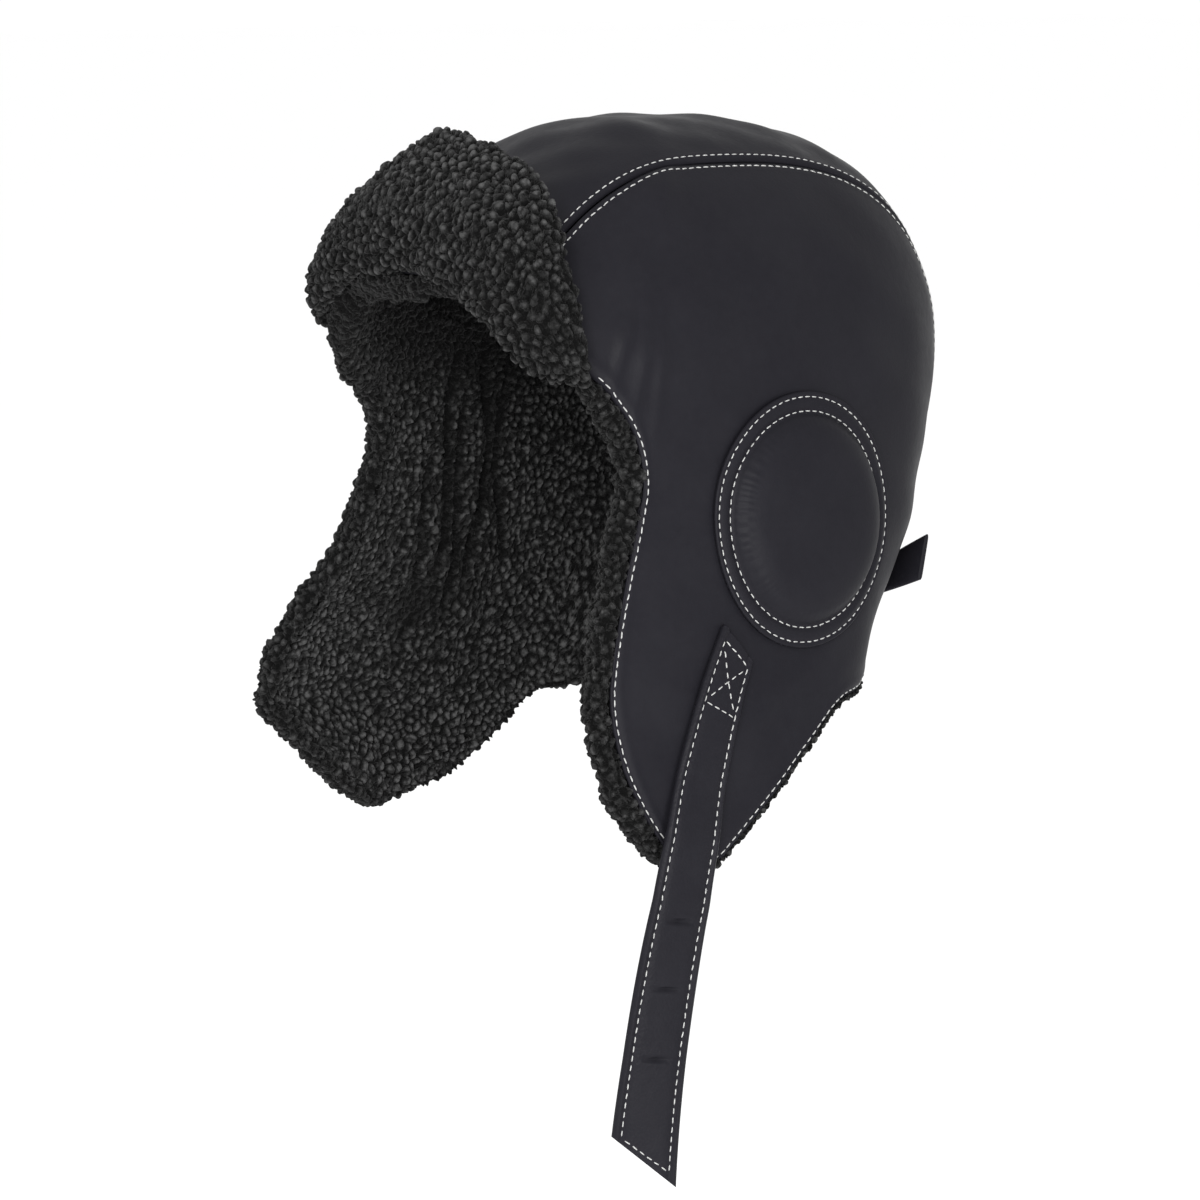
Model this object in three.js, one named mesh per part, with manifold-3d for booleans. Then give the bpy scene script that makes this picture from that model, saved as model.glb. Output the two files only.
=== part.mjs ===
// Aviator hat: a leather crown of three panels with ear flaps, lined with thick fleece.
// The fleece rolls round the face edge and faces outwards on the turned-up front flap.
// Millimetres, +Z up, the face looks along -Y and +X is the wearer's left.
// The origin is where the top of the head bears on the lining, inside the crown.
import * as THREE from "three";
import Module from "manifold-3d";

// Head form, measured on the outside of the leather. The widest level is height 0 of the form.
const crownHeight = 123;
const flapDrop = 136;
const halfWidth = 87;
const frontReach = 121;
const backReach = 118;
const planSquareness = 2.7;
const domeSquareness = 2.3;

// Materials and seams.
const leatherThickness = 1.4;
const liningThickness = 8;
const fitGap = 0.3;
const liningGap = 0.55;
const seamGap = 0.5;
const centrePanelHalfWidth = 49.5;

// Fleece that rolls out past the leather's edge.
const rollWidth = 9;

// Turned-up front flap, from its middle.
const flapFleeceThickness = 12;
const flapBackingThickness = 1.2;
const flapBulge = 8;
const flapTilt = 12;
// The flap's top sags on the right: how deep, around which share of the flap and over which share.
const flapSag = 6;
const flapSagAt = -0.58;
const flapSagSpan = 0.26;
const flapRightRaise = { foot: 18, head: 10 };
const flapRightTuck = 7.4;
const flapSetBack = 0.8;

// Ear pads, sewn over the ears.
const padRadius = 46.5;
const padNarrowing = 0.94;
const padLift = 0.9;
const padDomeRadius = 38.5;
const padFlangeThickness = 1.6;
const padDomeHeight = 8;
const padCentreY = 11.4;
const padCentreZ = -22.6;
// How far the pad's foot leans towards the face.
const padLean = 4.9;

// Chin strap, sewn to the left flap.
const strapWidth = 24.5;
const strapThickness = 3;
const strapLength = 191;
const strapLift = 0.6;
const strapEdgeLift = 2.4;
const strapTopSlant = -8;
const strapTipSlant = 20;
const strapStartY = -27;
const strapStartZ = -64.5;

// Buckle strap, sewn to the right flap.
const buckleStrapLength = 34;
const buckleStrapLean = 14;
const buckleStrapStiff = 3;
const buckleStrapBent = 16;
const buckleStrapLift = 0.8;
const buckleWire = 2.6;
const buckleLength = 19;
const buckleY = -44;
const buckleZ = -96;

// Adjusting strap across the nape.
const napeStrapWidth = 16;
const napeStrapThickness = 2;
const napeStrapHeight = -54;
const napeStrapEndAngle = 222;
const napeBarAngle = 157;
const napeTabLength = 13;
const napeBuckleWire = 2;
const napeBuckleLength = 18;
const napeTailLength = 24.5;
const napeTailFlare = 15;
const napeTailRise = 11.5;
const napeTailSlant = -7.5;
const napeTailTip = 18;

// How the nape strap climbs over its buckle: how far back, as a share of the buckle's length, and how high.
const napeRise = [
  { back: 0.78, share: 0.05 },
  { back: 0.5, share: 0.5 },
  { back: 0.22, share: 0.92 },
  { back: 0, share: 1 },
];

// Fineness of the meshes.
const panelRows = 13;
const panelColumns = 22;
const centreColumns = 6;
// How soon the rows of a side panel lose the arch of the seam above them.
const rowFade = 0.6;

// The head form by level: a share of the crown's height above 0, and of the flap's drop below it.
// The other columns are shares of the half width, front reach and back reach, before the dome closes.
const formSections = [
  { level: -1.15, side: 1.17, front: 1.2, back: 0.5 },
  { level: -0.85, side: 1.15, front: 1.25, back: 0.52 },
  { level: -0.55, side: 1.1, front: 1.22, back: 0.61 },
  { level: -0.27, side: 1.04, front: 1.1, back: 0.85 },
  { level: 0, side: 1.0, front: 1.02, back: 0.975 },
  { level: 0.36, side: 1.0, front: 0.98, back: 1.083 },
  { level: 0.6, side: 1.0, front: 0.9, back: 1.14 },
  { level: 1.0, side: 1.0, front: 0.77, back: 1.3 },
];

// The leather's face edge from the centre panel's seam down the flap to its bottom.
const faceEdge = [
  { angle: 39, level: 0.34 },
  { angle: 46.5, level: 0.235 },
  { angle: 52.3, level: 0.1 },
  { angle: 54.2, level: -0.03 },
  { angle: 53.2, level: -0.13 },
  { angle: 50.6, level: -0.3 },
  { angle: 48.4, level: -0.5 },
  { angle: 48.2, level: -0.63 },
  { angle: 50.4, level: -0.78 },
  { angle: 54.5, level: -0.92 },
];

// The flap's rounded bottom, from its front to its back corner.
const flapBottom = [
  { angle: 59, level: -1.02 },
  { angle: 64.5, level: -1.06 },
  { angle: 70, level: -1.035 },
];

// The flap's back edge, from its bottom up to the centre panel's seam at the nape.
const napeEdge = [
  { angle: 76, level: -0.965 },
  { angle: 84.5, level: -0.868 },
  { angle: 93, level: -0.77 },
  { angle: 104, level: -0.67 },
  { angle: 120, level: -0.635 },
];

// The right flap hangs unlike the left one: its front edge flares out and its back edge hangs lower.
// Shares of the flap's drop.
const rightFlare = [
  { level: -1.15, flare: 0.02, drop: 0 },
  { level: -0.95, flare: 0.082, drop: 0.096 },
  { level: -0.78, flare: 0.175, drop: 0.135 },
  { level: -0.65, flare: 0.152, drop: 0.125 },
  { level: -0.5, flare: 0.106, drop: 0.085 },
  { level: -0.3, flare: 0.032, drop: 0.022 },
  { level: 0, flare: 0, drop: 0 },
];
// The plan angles between which the flare fades out, and between which the drop comes and goes.
const flareFade = { full: 52, gone: 92 };
const dropFade = { none: 58, full: 82, fading: 112, gone: 150 };

// Where the centre panel's ends lie: the ray's angle from straight ahead, over the top, about its pole.
const poleHeight = 20;
const centreFrontRay = 25.5;
const centreNapeRay = 229;

// The width of the rolled edge by plan angle, as a share of the roll's full width.
const rollWidths = [
  { angle: 0, share: 0.3 },
  { angle: 36, share: 0.3 },
  { angle: 45, share: 0.6 },
  { angle: 52, share: 1.0 },
  { angle: 56, share: 0.8 },
  { angle: 61, share: 0.45 },
  { angle: 67, share: 0.25 },
  { angle: 80, share: 0.12 },
  { angle: 106, share: 0.15 },
  { angle: 122, share: 0.5 },
  { angle: 180, share: 0.6 },
];

// The rolled edge's section: out past the leather's edge, and up or down through the lining's thickness.
const rollSection = [
  { out: 0.0, through: 0.85 },
  { out: 0.06, through: 1.3 },
  { out: 0.4, through: 1.34 },
  { out: 0.85, through: 1.0 },
  { out: 1.0, through: 0.5 },
  { out: 0.86, through: 0.08 },
  { out: 0.45, through: -0.08 },
];

// The front flap's middle surface, from its middle to its tip.
// Shares of the half width, the front reach and the crown's height, for its foot and its head.
const frontFlap = [
  { at: 0, footOut: 0, footFront: 0.842, footUp: 0.565, headOut: 0, headFront: 0.69, headUp: 0.965 },
  { at: 0.35, footOut: 0.356, footFront: 0.86, footUp: 0.512, headOut: 0.4, headFront: 0.7, headUp: 0.875 },
  { at: 0.65, footOut: 0.62, footFront: 0.855, footUp: 0.382, headOut: 0.67, headFront: 0.7, headUp: 0.74 },
  { at: 0.86, footOut: 0.81, footFront: 0.785, footUp: 0.252, headOut: 0.79, headFront: 0.69, headUp: 0.56 },
  { at: 1.0, footOut: 0.912, footFront: 0.652, footUp: 0.2, headOut: 0.895, headFront: 0.685, headUp: 0.3 },
];

// The ear pad's section, as shares of the dome's radius and height.
const padDome = [
  { out: 0, rise: 1.0 },
  { out: 0.4, rise: 0.96 },
  { out: 0.7, rise: 0.82 },
  { out: 0.9, rise: 0.5 },
  { out: 1.0, rise: 0.0 },
];

// Along the chin strap: its lean forward from plumb and its swing outwards, in degrees, and its width.
const strapHang = [
  { along: 0, lean: 28, swing: 0, width: 0.7 },
  { along: 0.15, lean: 22, swing: 0, width: 0.81 },
  { along: 0.4, lean: 14, swing: 0, width: 0.95 },
  { along: 0.6, lean: 9, swing: 10, width: 1.0 },
  { along: 0.8, lean: 5.5, swing: 18, width: 1.0 },
  { along: 1, lean: 1, swing: 22, width: 1.0 },
];

const wasm = await Module();
wasm.setup();
const { Manifold, Mesh } = wasm;
const hat = new THREE.Group();
// The form's height 0 lies this far below the point where the head bears on the lining.
hat.position.z = -(crownHeight - leatherThickness - liningGap - liningThickness);

const radians = THREE.MathUtils.degToRad;
const leather = (name) => material(name, 0x1d1c20, 0.5);
const steel = (name) => material(name, 0x55565a, 0.35, 1);
const fleece = (name) => material(name, 0x1b1b1b, 0.95);

function material(name, color, roughness, metalness = 0) {
  return new THREE.MeshStandardMaterial({ name, color, roughness, metalness });
}

function add(name, geometry, finish) {
  const mesh = new THREE.Mesh(geometry, finish);
  mesh.name = name;
  hat.add(mesh);
}

// A smooth value at t through the rows of a table, by its key column.
function readTable(rows, key, column, t) {
  const last = rows.length - 1;
  let i = rows.findIndex((row) => row[key] >= t);
  if (i < 0) i = last;
  if (i === 0) i = 1;
  const before = rows[i - 1];
  const after = rows[i];
  const span = after[key] - before[key];
  const share = THREE.MathUtils.clamp((t - before[key]) / span, 0, 1);
  const slope = (j) => {
    const low = rows[Math.max(j - 1, 0)];
    const high = rows[Math.min(j + 1, last)];
    return (high[column] - low[column]) / (high[key] - low[key]);
  };
  const square = share * share;
  const cube = square * share;
  return (
    (2 * cube - 3 * square + 1) * before[column] +
    (cube - 2 * square + share) * span * slope(i - 1) +
    (3 * square - 2 * cube) * after[column] +
    (cube - square) * span * slope(i)
  );
}

function levelOf(z) {
  return z >= 0 ? z / crownHeight : z / flapDrop;
}

function heightOf(level) {
  return level >= 0 ? level * crownHeight : level * flapDrop;
}

// The form's plan reach at a height, before the dome closes it.
function reachAt(z) {
  const level = THREE.MathUtils.clamp(levelOf(z), formSections[0].level, 1);
  return {
    side: halfWidth * readTable(formSections, "level", "side", level),
    front: frontReach * readTable(formSections, "level", "front", level),
    back: backReach * readTable(formSections, "level", "back", level),
  };
}

// Below 0 inside the form, 0 on the leather's outer surface.
function formValue(x, y, z) {
  const reach = reachAt(z);
  const length = y < 0 ? reach.front : reach.back;
  const plan =
    (Math.abs(x) / reach.side) ** planSquareness +
    (Math.abs(y) / length) ** planSquareness;
  const rise = Math.max(z, 0) / crownHeight;
  return (
    plan ** (domeSquareness / planSquareness) + rise ** domeSquareness - 1
  );
}

function formNormal(p) {
  const step = 0.5;
  const slope = (dx, dy, dz) =>
    formValue(p.x + dx, p.y + dy, p.z + dz) -
    formValue(p.x - dx, p.y - dy, p.z - dz);
  return new THREE.Vector3(
    slope(step, 0, 0),
    slope(0, step, 0),
    slope(0, 0, step),
  ).normalize();
}

// The point where a ray from inside the form leaves it.
function castOut(from, direction) {
  let low = 0;
  let high = 3 * frontReach;
  for (let i = 0; i < 40; i++) {
    const middle = (low + high) / 2;
    const p = from.clone().addScaledVector(direction, middle);
    if (formValue(p.x, p.y, p.z) < 0) low = middle;
    else high = middle;
  }
  return from.clone().addScaledVector(direction, low);
}

// A point of the form by its plan angle, 0 at the front and 90 at the wearer's left, and its height.
function formPoint(angle, z) {
  const turn = radians(angle);
  const direction = new THREE.Vector3(Math.sin(turn), -Math.cos(turn), 0);
  return castOut(new THREE.Vector3(0, 0, z), direction);
}

// A point of the form in the upright plane at x, at an angle over the top from straight ahead.
function archPoint(x, ray) {
  const turn = radians(ray);
  const direction = new THREE.Vector3(0, -Math.cos(turn), Math.sin(turn));
  return castOut(new THREE.Vector3(x, 0, poleHeight), direction);
}

function planAngle(p) {
  return THREE.MathUtils.radToDeg(Math.atan2(p.x, -p.y));
}

// A smooth curve over the form's unrolled plan, where x is the plan angle and y the height.
function edgeCurve(rows, first = [], last = []) {
  const own = rows.map(
    (row) => new THREE.Vector2(row.angle, heightOf(row.level)),
  );
  return new THREE.SplineCurve([...first, ...own, ...last]);
}

const unrolled = (p) => new THREE.Vector2(planAngle(p), p.z);

const seamRay = (share) =>
  THREE.MathUtils.lerp(centreFrontRay, centreNapeRay, share);
const seamPoint = (share, x) => unrolled(archPoint(x, seamRay(share)));

const clamp = THREE.MathUtils.clamp;
const smooth = (value, low, high) => THREE.MathUtils.smoothstep(value, low, high);

// How much lower the right side panel reaches at a place than the left one.
function dropRight(angle, z) {
  const level = clamp(levelOf(z), -1.15, 0);
  const { none, full, fading, gone } = dropFade;
  const share = smooth(angle, none, full) * (1 - smooth(angle, fading, gone));
  return flapDrop * readTable(rightFlare, "level", "drop", level) * share;
}

// Flares the right flap's front part outwards.
function flareRight(p) {
  const level = clamp(levelOf(p.z), -1.15, 0);
  const share = 1 - smooth(planAngle(p), flareFade.full, flareFade.gone);
  const out = flapDrop * readTable(rightFlare, "level", "flare", level) * share;
  p.x += 0.74 * out;
  p.y -= 0.67 * out;
  return p;
}

// A place on the leather's outer surface and its outward normal, from any function of two numbers.
function nodeOf(place, u, v, side, stepU, stepV) {
  const p = place(u, v);
  const alongU = place(u + stepU, v).sub(place(u - stepU, v));
  const alongV = place(u, v + stepV).sub(place(u, v - stepV));
  const n = alongU.cross(alongV).normalize();
  if (n.x < 0) n.negate();
  p.x *= side;
  n.x *= side;
  return { p, n };
}

// By plan angle and height.
function panelNode(angle, z, side) {
  const place = (a, h) => {
    if (side > 0) return formPoint(a, h);
    return flareRight(formPoint(a, h - dropRight(a, h)));
  };
  return nodeOf(place, angle, z, side, 0.3, 0.5);
}

// By how far back and up it is, beside the ear.
function sideNode(y, z, side) {
  const place = (back, up) => {
    const p = castOut(new THREE.Vector3(0, back, up), new THREE.Vector3(1, 0, 0));
    return side < 0 ? flareRight(p) : p;
  };
  return nodeOf(place, y, z, side, 0.5, 0.5);
}

// A side panel as a grid: across from the face edge to the nape edge, down from the seam to the bottom.
function sideGrid(side, seamX) {
  const bottomCurve = edgeCurve(flapBottom);
  const corners = [
    seamPoint(0, seamX),
    seamPoint(1, seamX),
    bottomCurve.getPoint(0),
    bottomCurve.getPoint(1),
  ];
  const faceCurve = edgeCurve(faceEdge, [corners[0]], [corners[2]]);
  const napeCurve = edgeCurve([...napeEdge].reverse(), [corners[1]], [corners[3]]);
  const blend = (a, b, share) => a.clone().lerp(b, share);
  return gridOf(panelRows, panelColumns, (across, down) => {
    const fade = down + rowFade * down * (1 - down);
    const ruled = blend(seamPoint(across, seamX), bottomCurve.getPoint(across), fade);
    const crossed = blend(faceCurve.getPoint(down), napeCurve.getPoint(down), across);
    const flat = blend(
      blend(corners[0], corners[1], across),
      blend(corners[2], corners[3], across),
      fade,
    );
    const place = ruled.add(crossed).sub(flat);
    return panelNode(place.x, place.y, side);
  });
}

function centreGrid(seamX) {
  return gridOf(panelColumns, centreColumns, (across, along) => {
    const p = archPoint((1 - 2 * across) * seamX, seamRay(along));
    return { p, n: formNormal(p) };
  });
}

function gridOf(rows, columns, node) {
  const grid = [];
  for (let i = 0; i <= rows; i++) {
    grid.push([]);
    for (let j = 0; j <= columns; j++) grid[i].push(node(j / columns, i / rows));
  }
  return grid;
}

const offsetPoint = ({ p, n }, offset) => p.clone().addScaledVector(n, offset);

// Vertices and faces gathered into one closed body.
class Body {
  positions = [];
  faces = [];

  vertex(p) {
    this.positions.push(p.x, p.y, p.z);
    return this.positions.length / 3 - 1;
  }

  quad(a, b, c, d) {
    this.faces.push(a, b, c, a, c, d);
  }

  // Quads between two rows of vertices.
  strip(low, high, closed = false, turned = false) {
    const end = closed ? low.length : low.length - 1;
    for (let i = 0; i < end; i++) {
      const next = (i + 1) % low.length;
      if (turned) this.quad(low[i], high[i], high[next], low[next]);
      else this.quad(low[i], low[next], high[next], high[i]);
    }
  }

  geometry() {
    const corner = (i) => new THREE.Vector3().fromArray(this.positions, 3 * i);
    let volume = 0;
    for (let i = 0; i < this.faces.length; i += 3)
      volume += corner(this.faces[i]).dot(
        corner(this.faces[i + 1]).cross(corner(this.faces[i + 2])),
      );
    if (volume < 0) this.faces.reverse();
    return new THREE.BufferGeometry()
      .setAttribute("position", new THREE.Float32BufferAttribute(this.positions, 3))
      .setIndex(this.faces);
  }
}

// The nodes round a grid's border, in order.
function border(grid) {
  const rows = grid.length - 1;
  const columns = grid[0].length - 1;
  const nodes = [];
  for (let i = 0; i < rows; i++) nodes.push(grid[i][0]);
  for (let j = 0; j < columns; j++) nodes.push(grid[rows][j]);
  for (let i = rows; i > 0; i--) nodes.push(grid[i][columns]);
  for (let j = columns; j > 0; j--) nodes.push(grid[0][j]);
  return nodes;
}

// A sheet with a thickness between two offsets from a grid.
function sheet(grid, inner, outer) {
  const body = new Body();
  const layers = [outer, inner].map((offset) => {
    const seen = new Map();
    for (const node of grid.flat()) seen.set(node, body.vertex(offsetPoint(node, offset)));
    return seen;
  });
  const row = (layer, nodes) => nodes.map((node) => layers[layer].get(node));
  for (let i = 0; i < grid.length - 1; i++) {
    body.strip(row(0, grid[i]), row(0, grid[i + 1]), false, true);
    body.strip(row(1, grid[i]), row(1, grid[i + 1]));
  }
  body.strip(row(1, border(grid)), row(0, border(grid)), true);
  return body.geometry();
}

// The fleece lining: three grids joined into one, with a rolled edge all round.
function lining(left, right, centre) {
  const body = new Body();
  const outside = -(leatherThickness + liningGap);
  const inside = outside - liningThickness;
  centre.forEach((row, i) => {
    row[0] = left[0][i];
    row[row.length - 1] = right[0][i];
  });
  const nodes = new Set([left, right, centre].flat(2));
  const layers = [outside, inside].map((offset) => {
    const layer = new Map();
    for (const node of nodes) layer.set(node, body.vertex(offsetPoint(node, offset)));
    return layer;
  });
  for (const [grid, turned] of [[left, false], [right, true], [centre, false]])
    for (let i = 0; i < grid.length - 1; i++)
      for (const layer of [0, 1]) {
        const at = (row) => row.map((node) => layers[layer].get(node));
        body.strip(at(grid[i]), at(grid[i + 1]), false, turned === (layer === 1));
      }
  const rows = panelRows;
  const columns = panelColumns;
  const loop = [];
  const down = (grid, j) => grid.map((row) => row[j]);
  loop.push(...down(left, 0));
  loop.push(...left[rows].slice(1));
  loop.push(...down(left, columns).reverse().slice(1));
  loop.push(...centre[columns].slice(1, -1));
  loop.push(...down(right, columns));
  loop.push(...[...right[rows]].reverse().slice(1));
  loop.push(...down(right, 0).reverse().slice(1));
  loop.push(...[...centre[0]].reverse().slice(1, -1));
  const rings = loop.map((node, i) => {
    const before = loop[(i + loop.length - 2) % loop.length];
    const after = loop[(i + 2) % loop.length];
    const along = after.p.clone().sub(before.p);
    const out = along.cross(node.n).normalize();
    const angle = Math.abs(planAngle(node.p));
    const width = rollWidth * readTable(rollWidths, "angle", "share", angle);
    return rollSection.map(({ out: share, through }) =>
      body.vertex(
        offsetPoint(node, inside + liningThickness * through).addScaledVector(
          out,
          4 * fitGap + width * share,
        ),
      ),
    );
  });
  const ring = (k) => rings.map((row) => row[k]);
  const edge = (layer) => loop.map((node) => layers[layer].get(node));
  const last = rollSection.length - 1;
  body.strip(ring(0), edge(0), true);
  for (let k = 0; k < last; k++) body.strip(ring(k + 1), ring(k), true);
  body.strip(edge(1), ring(last), true);
  return body.geometry();
}

// The front flap's middle surface as a grid, from the right tip to the left tip and from foot to head.
function flapGrid() {
  const read = (column, share) =>
    readTable(frontFlap, "at", column, Math.abs(share));
  const sag = (share) =>
    flapSag * Math.exp(-(((share - flapSagAt) / flapSagSpan) ** 2));
  const point = (end, share) => {
    const right = share < 0 ? share * share : 0;
    return new THREE.Vector3(
      Math.sign(share) * halfWidth * read(`${end}Out`, share) * (1 - 0.05 * right),
      flapSetBack -
        frontReach * read(`${end}Front`, share) +
        flapRightTuck * right * (1 - 0.6 * right * right),
      crownHeight * read(`${end}Up`, share) +
        flapRightRaise[end] * right +
        (end === "head" ? flapTilt * share - sag(share) : 0),
    );
  };
  const place = (share, rise) => {
    const foot = point("foot", share);
    const head = point("head", share);
    const bulge = flapBulge * Math.sin(Math.PI * rise) * (1 - 0.8 * share ** 4);
    const p = foot.lerp(head, rise);
    p.x += 0.5 * bulge * share;
    p.y -= bulge;
    return p;
  };
  return gridOf(6, 18, (across, rise) => {
    const share = clamp(2 * across - 1, -0.995, 0.995);
    const step = 0.01;
    const p = place(share, rise);
    const along = place(Math.min(share + step, 1), rise).sub(place(share - step, rise));
    const up = place(share, rise + step).sub(place(share, rise - step));
    return { p, n: along.cross(up).normalize(), share, rise };
  });
}

// The flap's fleece swells from its edges to its middle.
function flapFleece(grid) {
  const fat = grid.map((row) =>
    row.map(({ p, n, share, rise }) => {
      const edge = Math.min(1, 5 * Math.min(rise, 1 - rise) + 0.35);
      const tip = Math.min(1, 4 * (1 - Math.abs(share)) + 0.3);
      return { p, n: n.clone().multiplyScalar(Math.sqrt(edge * tip)) };
    }),
  );
  return sheet(fat, -flapFleeceThickness / 2, flapFleeceThickness / 2);
}

// A round body, lying on the side of the crown, from its section of radius and rise.
function earPad(side) {
  const segments = 24;
  const body = new Body();
  const section = [
    ...padDome.map(({ out, rise }) => [
      out * padDomeRadius,
      padLift + padFlangeThickness + rise * padDomeHeight,
    ]),
    [padRadius - 0.5, padLift + padFlangeThickness],
    [padRadius, padLift + padFlangeThickness / 2],
    [padRadius - 0.5, padLift],
    [padRadius * 0.75, padLift],
    [padRadius * 0.5, padLift],
    [padRadius * 0.25, padLift],
    [0, padLift],
  ];
  const node = (radius, turn) => {
    const up = radius * Math.cos(turn);
    const lean = padLean * (Math.min(up, 0) / padRadius) ** 2;
    return sideNode(
      padCentreY + padNarrowing * radius * Math.sin(turn) - lean,
      padCentreZ + up,
      side,
    );
  };
  const rings = section.map(([radius, rise]) => {
    if (radius === 0) return [body.vertex(offsetPoint(node(0, 0), rise))];
    return Array.from({ length: segments }, (_, k) =>
      body.vertex(offsetPoint(node(radius, (2 * Math.PI * k) / segments), rise)),
    );
  });
  for (let i = 0; i < rings.length - 1; i++) {
    const low = rings[i];
    const high = rings[i + 1];
    for (let k = 0; k < segments; k++) {
      const next = (k + 1) % segments;
      if (low.length === 1) body.faces.push(low[0], high[next], high[k]);
      else if (high.length === 1) body.faces.push(low[k], low[next], high[0]);
      else body.quad(low[k], low[next], high[next], high[k]);
    }
  }
  return body.geometry();
}

// A strap through frames of a centre and the half vectors of its width and thickness.
function strap(frames) {
  const body = new Body();
  const rings = frames.map(({ centre, wide, thick }) =>
    [[1, 1], [-1, 1], [-1, -1], [1, -1]].map(([a, b]) =>
      body.vertex(centre.clone().addScaledVector(wide, a).addScaledVector(thick, b)),
    ),
  );
  for (let i = 0; i < rings.length - 1; i++) body.strip(rings[i], rings[i + 1], true);
  const last = rings[rings.length - 1];
  body.quad(rings[0][3], rings[0][2], rings[0][1], rings[0][0]);
  body.quad(last[0], last[1], last[2], last[3]);
  return body.geometry();
}

// The chin strap lies on the left flap, then hangs free past the flap's bottom.
function chinStrap() {
  const steps = 26;
  const stepLength = strapLength / steps;
  const frames = [];
  const place = new THREE.Vector3(0, strapStartY, strapStartZ);
  let lastX = 0;
  for (let i = 0; i <= steps; i++) {
    const along = i / steps;
    const lean = radians(readTable(strapHang, "along", "lean", along));
    const swing = radians(readTable(strapHang, "along", "swing", along));
    const onFlap = place.z > -flapDrop * 1.06;
    const node = sideNode(place.y, Math.max(place.z, -flapDrop * 1.06), 1);
    const lift = strapLift + strapEdgeLift * smooth(-place.z, 0.8 * flapDrop, flapDrop);
    if (onFlap) lastX = node.p.x + (lift + strapThickness / 2) * node.n.x;
    else if (place.z < -1.15 * flapDrop) lastX -= stepLength * 0.08;
    const normal = onFlap
      ? node.n
      : new THREE.Vector3(Math.cos(swing), -Math.sin(swing), 0);
    const centre = new THREE.Vector3(lastX, place.y, place.z);
    const direction = new THREE.Vector3(0, -Math.sin(lean), -Math.cos(lean));
    direction.addScaledVector(normal, -direction.dot(normal)).normalize();
    const wide = normal.clone().cross(direction).normalize();
    const width = strapWidth * readTable(strapHang, "along", "width", along);
    frames.push({ centre, direction, wide, normal, width });
    place.y -= stepLength * Math.sin(lean);
    place.z -= stepLength * Math.cos(lean);
  }
  smoothNormals(frames);
  const body = new Body();
  const rings = frames.map(({ centre, direction, wide, normal, width }, i) =>
    [[1, 1], [-1, 1], [-1, -1], [1, -1]].map(([a, b]) => {
      const cut = a * (i === 0 ? -strapTopSlant : i === steps ? strapTipSlant : 0);
      return body.vertex(
        centre
          .clone()
          .addScaledVector(wide, (a * width) / 2)
          .addScaledVector(normal, (b * strapThickness) / 2)
          .addScaledVector(direction, cut / 2),
      );
    }),
  );
  for (let i = 0; i < rings.length - 1; i++) body.strip(rings[i], rings[i + 1], true);
  body.quad(...[...rings[0]].reverse());
  body.quad(...rings[steps]);
  return body.geometry();
}

function smoothNormals(frames) {
  for (let pass = 0; pass < 12; pass++)
    for (let i = 1; i < frames.length - 1; i++) {
      const frame = frames[i];
      frame.normal = frames[i - 1].normal
        .clone()
        .add(frame.normal)
        .add(frames[i + 1].normal)
        .normalize();
      frame.wide = frame.normal.clone().cross(frame.direction).normalize();
    }
}

// A strap's end folded round a buckle's bar, with a slot for the buckle's pin.
// Its place x runs along the strap from the bar, y rises from the leather and z runs across.
function loopedTab(length, thickness, barRadius, width) {
  const eye = barRadius + fitGap;
  const rim = eye + thickness;
  const shape = new THREE.Shape();
  shape.moveTo(length, 0);
  shape.lineTo(length, 2 * thickness);
  shape.lineTo(rim * 1.6, 2 * thickness);
  shape.absarc(0, rim, rim, radians(50), radians(270), false);
  for (let k = 1; k < 4; k++) shape.lineTo((length * k) / 4, 0);
  const hole = new THREE.Path();
  hole.absarc(0, rim, eye, 0, 2 * Math.PI, true);
  shape.holes.push(hole);
  const steps = 2;
  const tab = new THREE.ExtrudeGeometry(shape, {
    depth: width,
    steps,
    bevelEnabled: false,
    curveSegments: 7,
  }).translate(0, 0, -width / 2);
  const slot = new THREE.BoxGeometry(2 * rim, 3 * rim, 2 * (barRadius + 2 * fitGap));
  slot.translate(-rim * 0.4, 1.2 * rim, 0);
  return toGeometry(toManifold(tab).subtract(toManifold(slot)));
}

// A plain wire buckle with its pin: the bar at x = 0, the frame towards negative x.
function wireBuckle(length, width, wire, height) {
  const radius = wire / 2;
  const half = width / 2 + radius;
  const corner = 2;
  const points = [
    [0, -half + corner],
    [0, half - corner],
    [-corner, half],
    [-length + corner, half],
    [-length, half - corner],
    [-length, -half + corner],
    [-length + corner, -half],
    [-corner, -half],
  ];
  const frame = tubeRing(points.map(([x, z]) => new THREE.Vector3(x, height, z)), radius);
  const pin = new THREE.CylinderGeometry(radius * 0.7, radius * 0.7, length, 8);
  pin.rotateZ(Math.PI / 2).translate(-length / 2, height + radius * 0.8, 0);
  return toGeometry(toManifold(frame).add(toManifold(pin)));
}

// A closed wire through flat corner points, mitred at each.
function tubeRing(points, radius) {
  const body = new Body();
  const sides = 8;
  const up = new THREE.Vector3(0, 1, 0);
  const rings = points.map((point, i) => {
    const before = points[(i + points.length - 1) % points.length];
    const after = points[(i + 1) % points.length];
    const a = point.clone().sub(before).normalize();
    const b = after.clone().sub(point).normalize();
    const along = a.clone().add(b).normalize();
    const out = along.clone().cross(up);
    const stretch = 1 / Math.max(a.dot(along), 0.5);
    return Array.from({ length: sides }, (_, k) => {
      const turn = (2 * Math.PI * (k + 0.5)) / sides;
      return body.vertex(
        point
          .clone()
          .addScaledVector(out, radius * stretch * Math.cos(turn))
          .addScaledVector(up, radius * Math.sin(turn)),
      );
    });
  });
  for (let i = 0; i < rings.length; i++)
    body.strip(rings[i], rings[(i + 1) % rings.length], true);
  return body.geometry();
}

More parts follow.
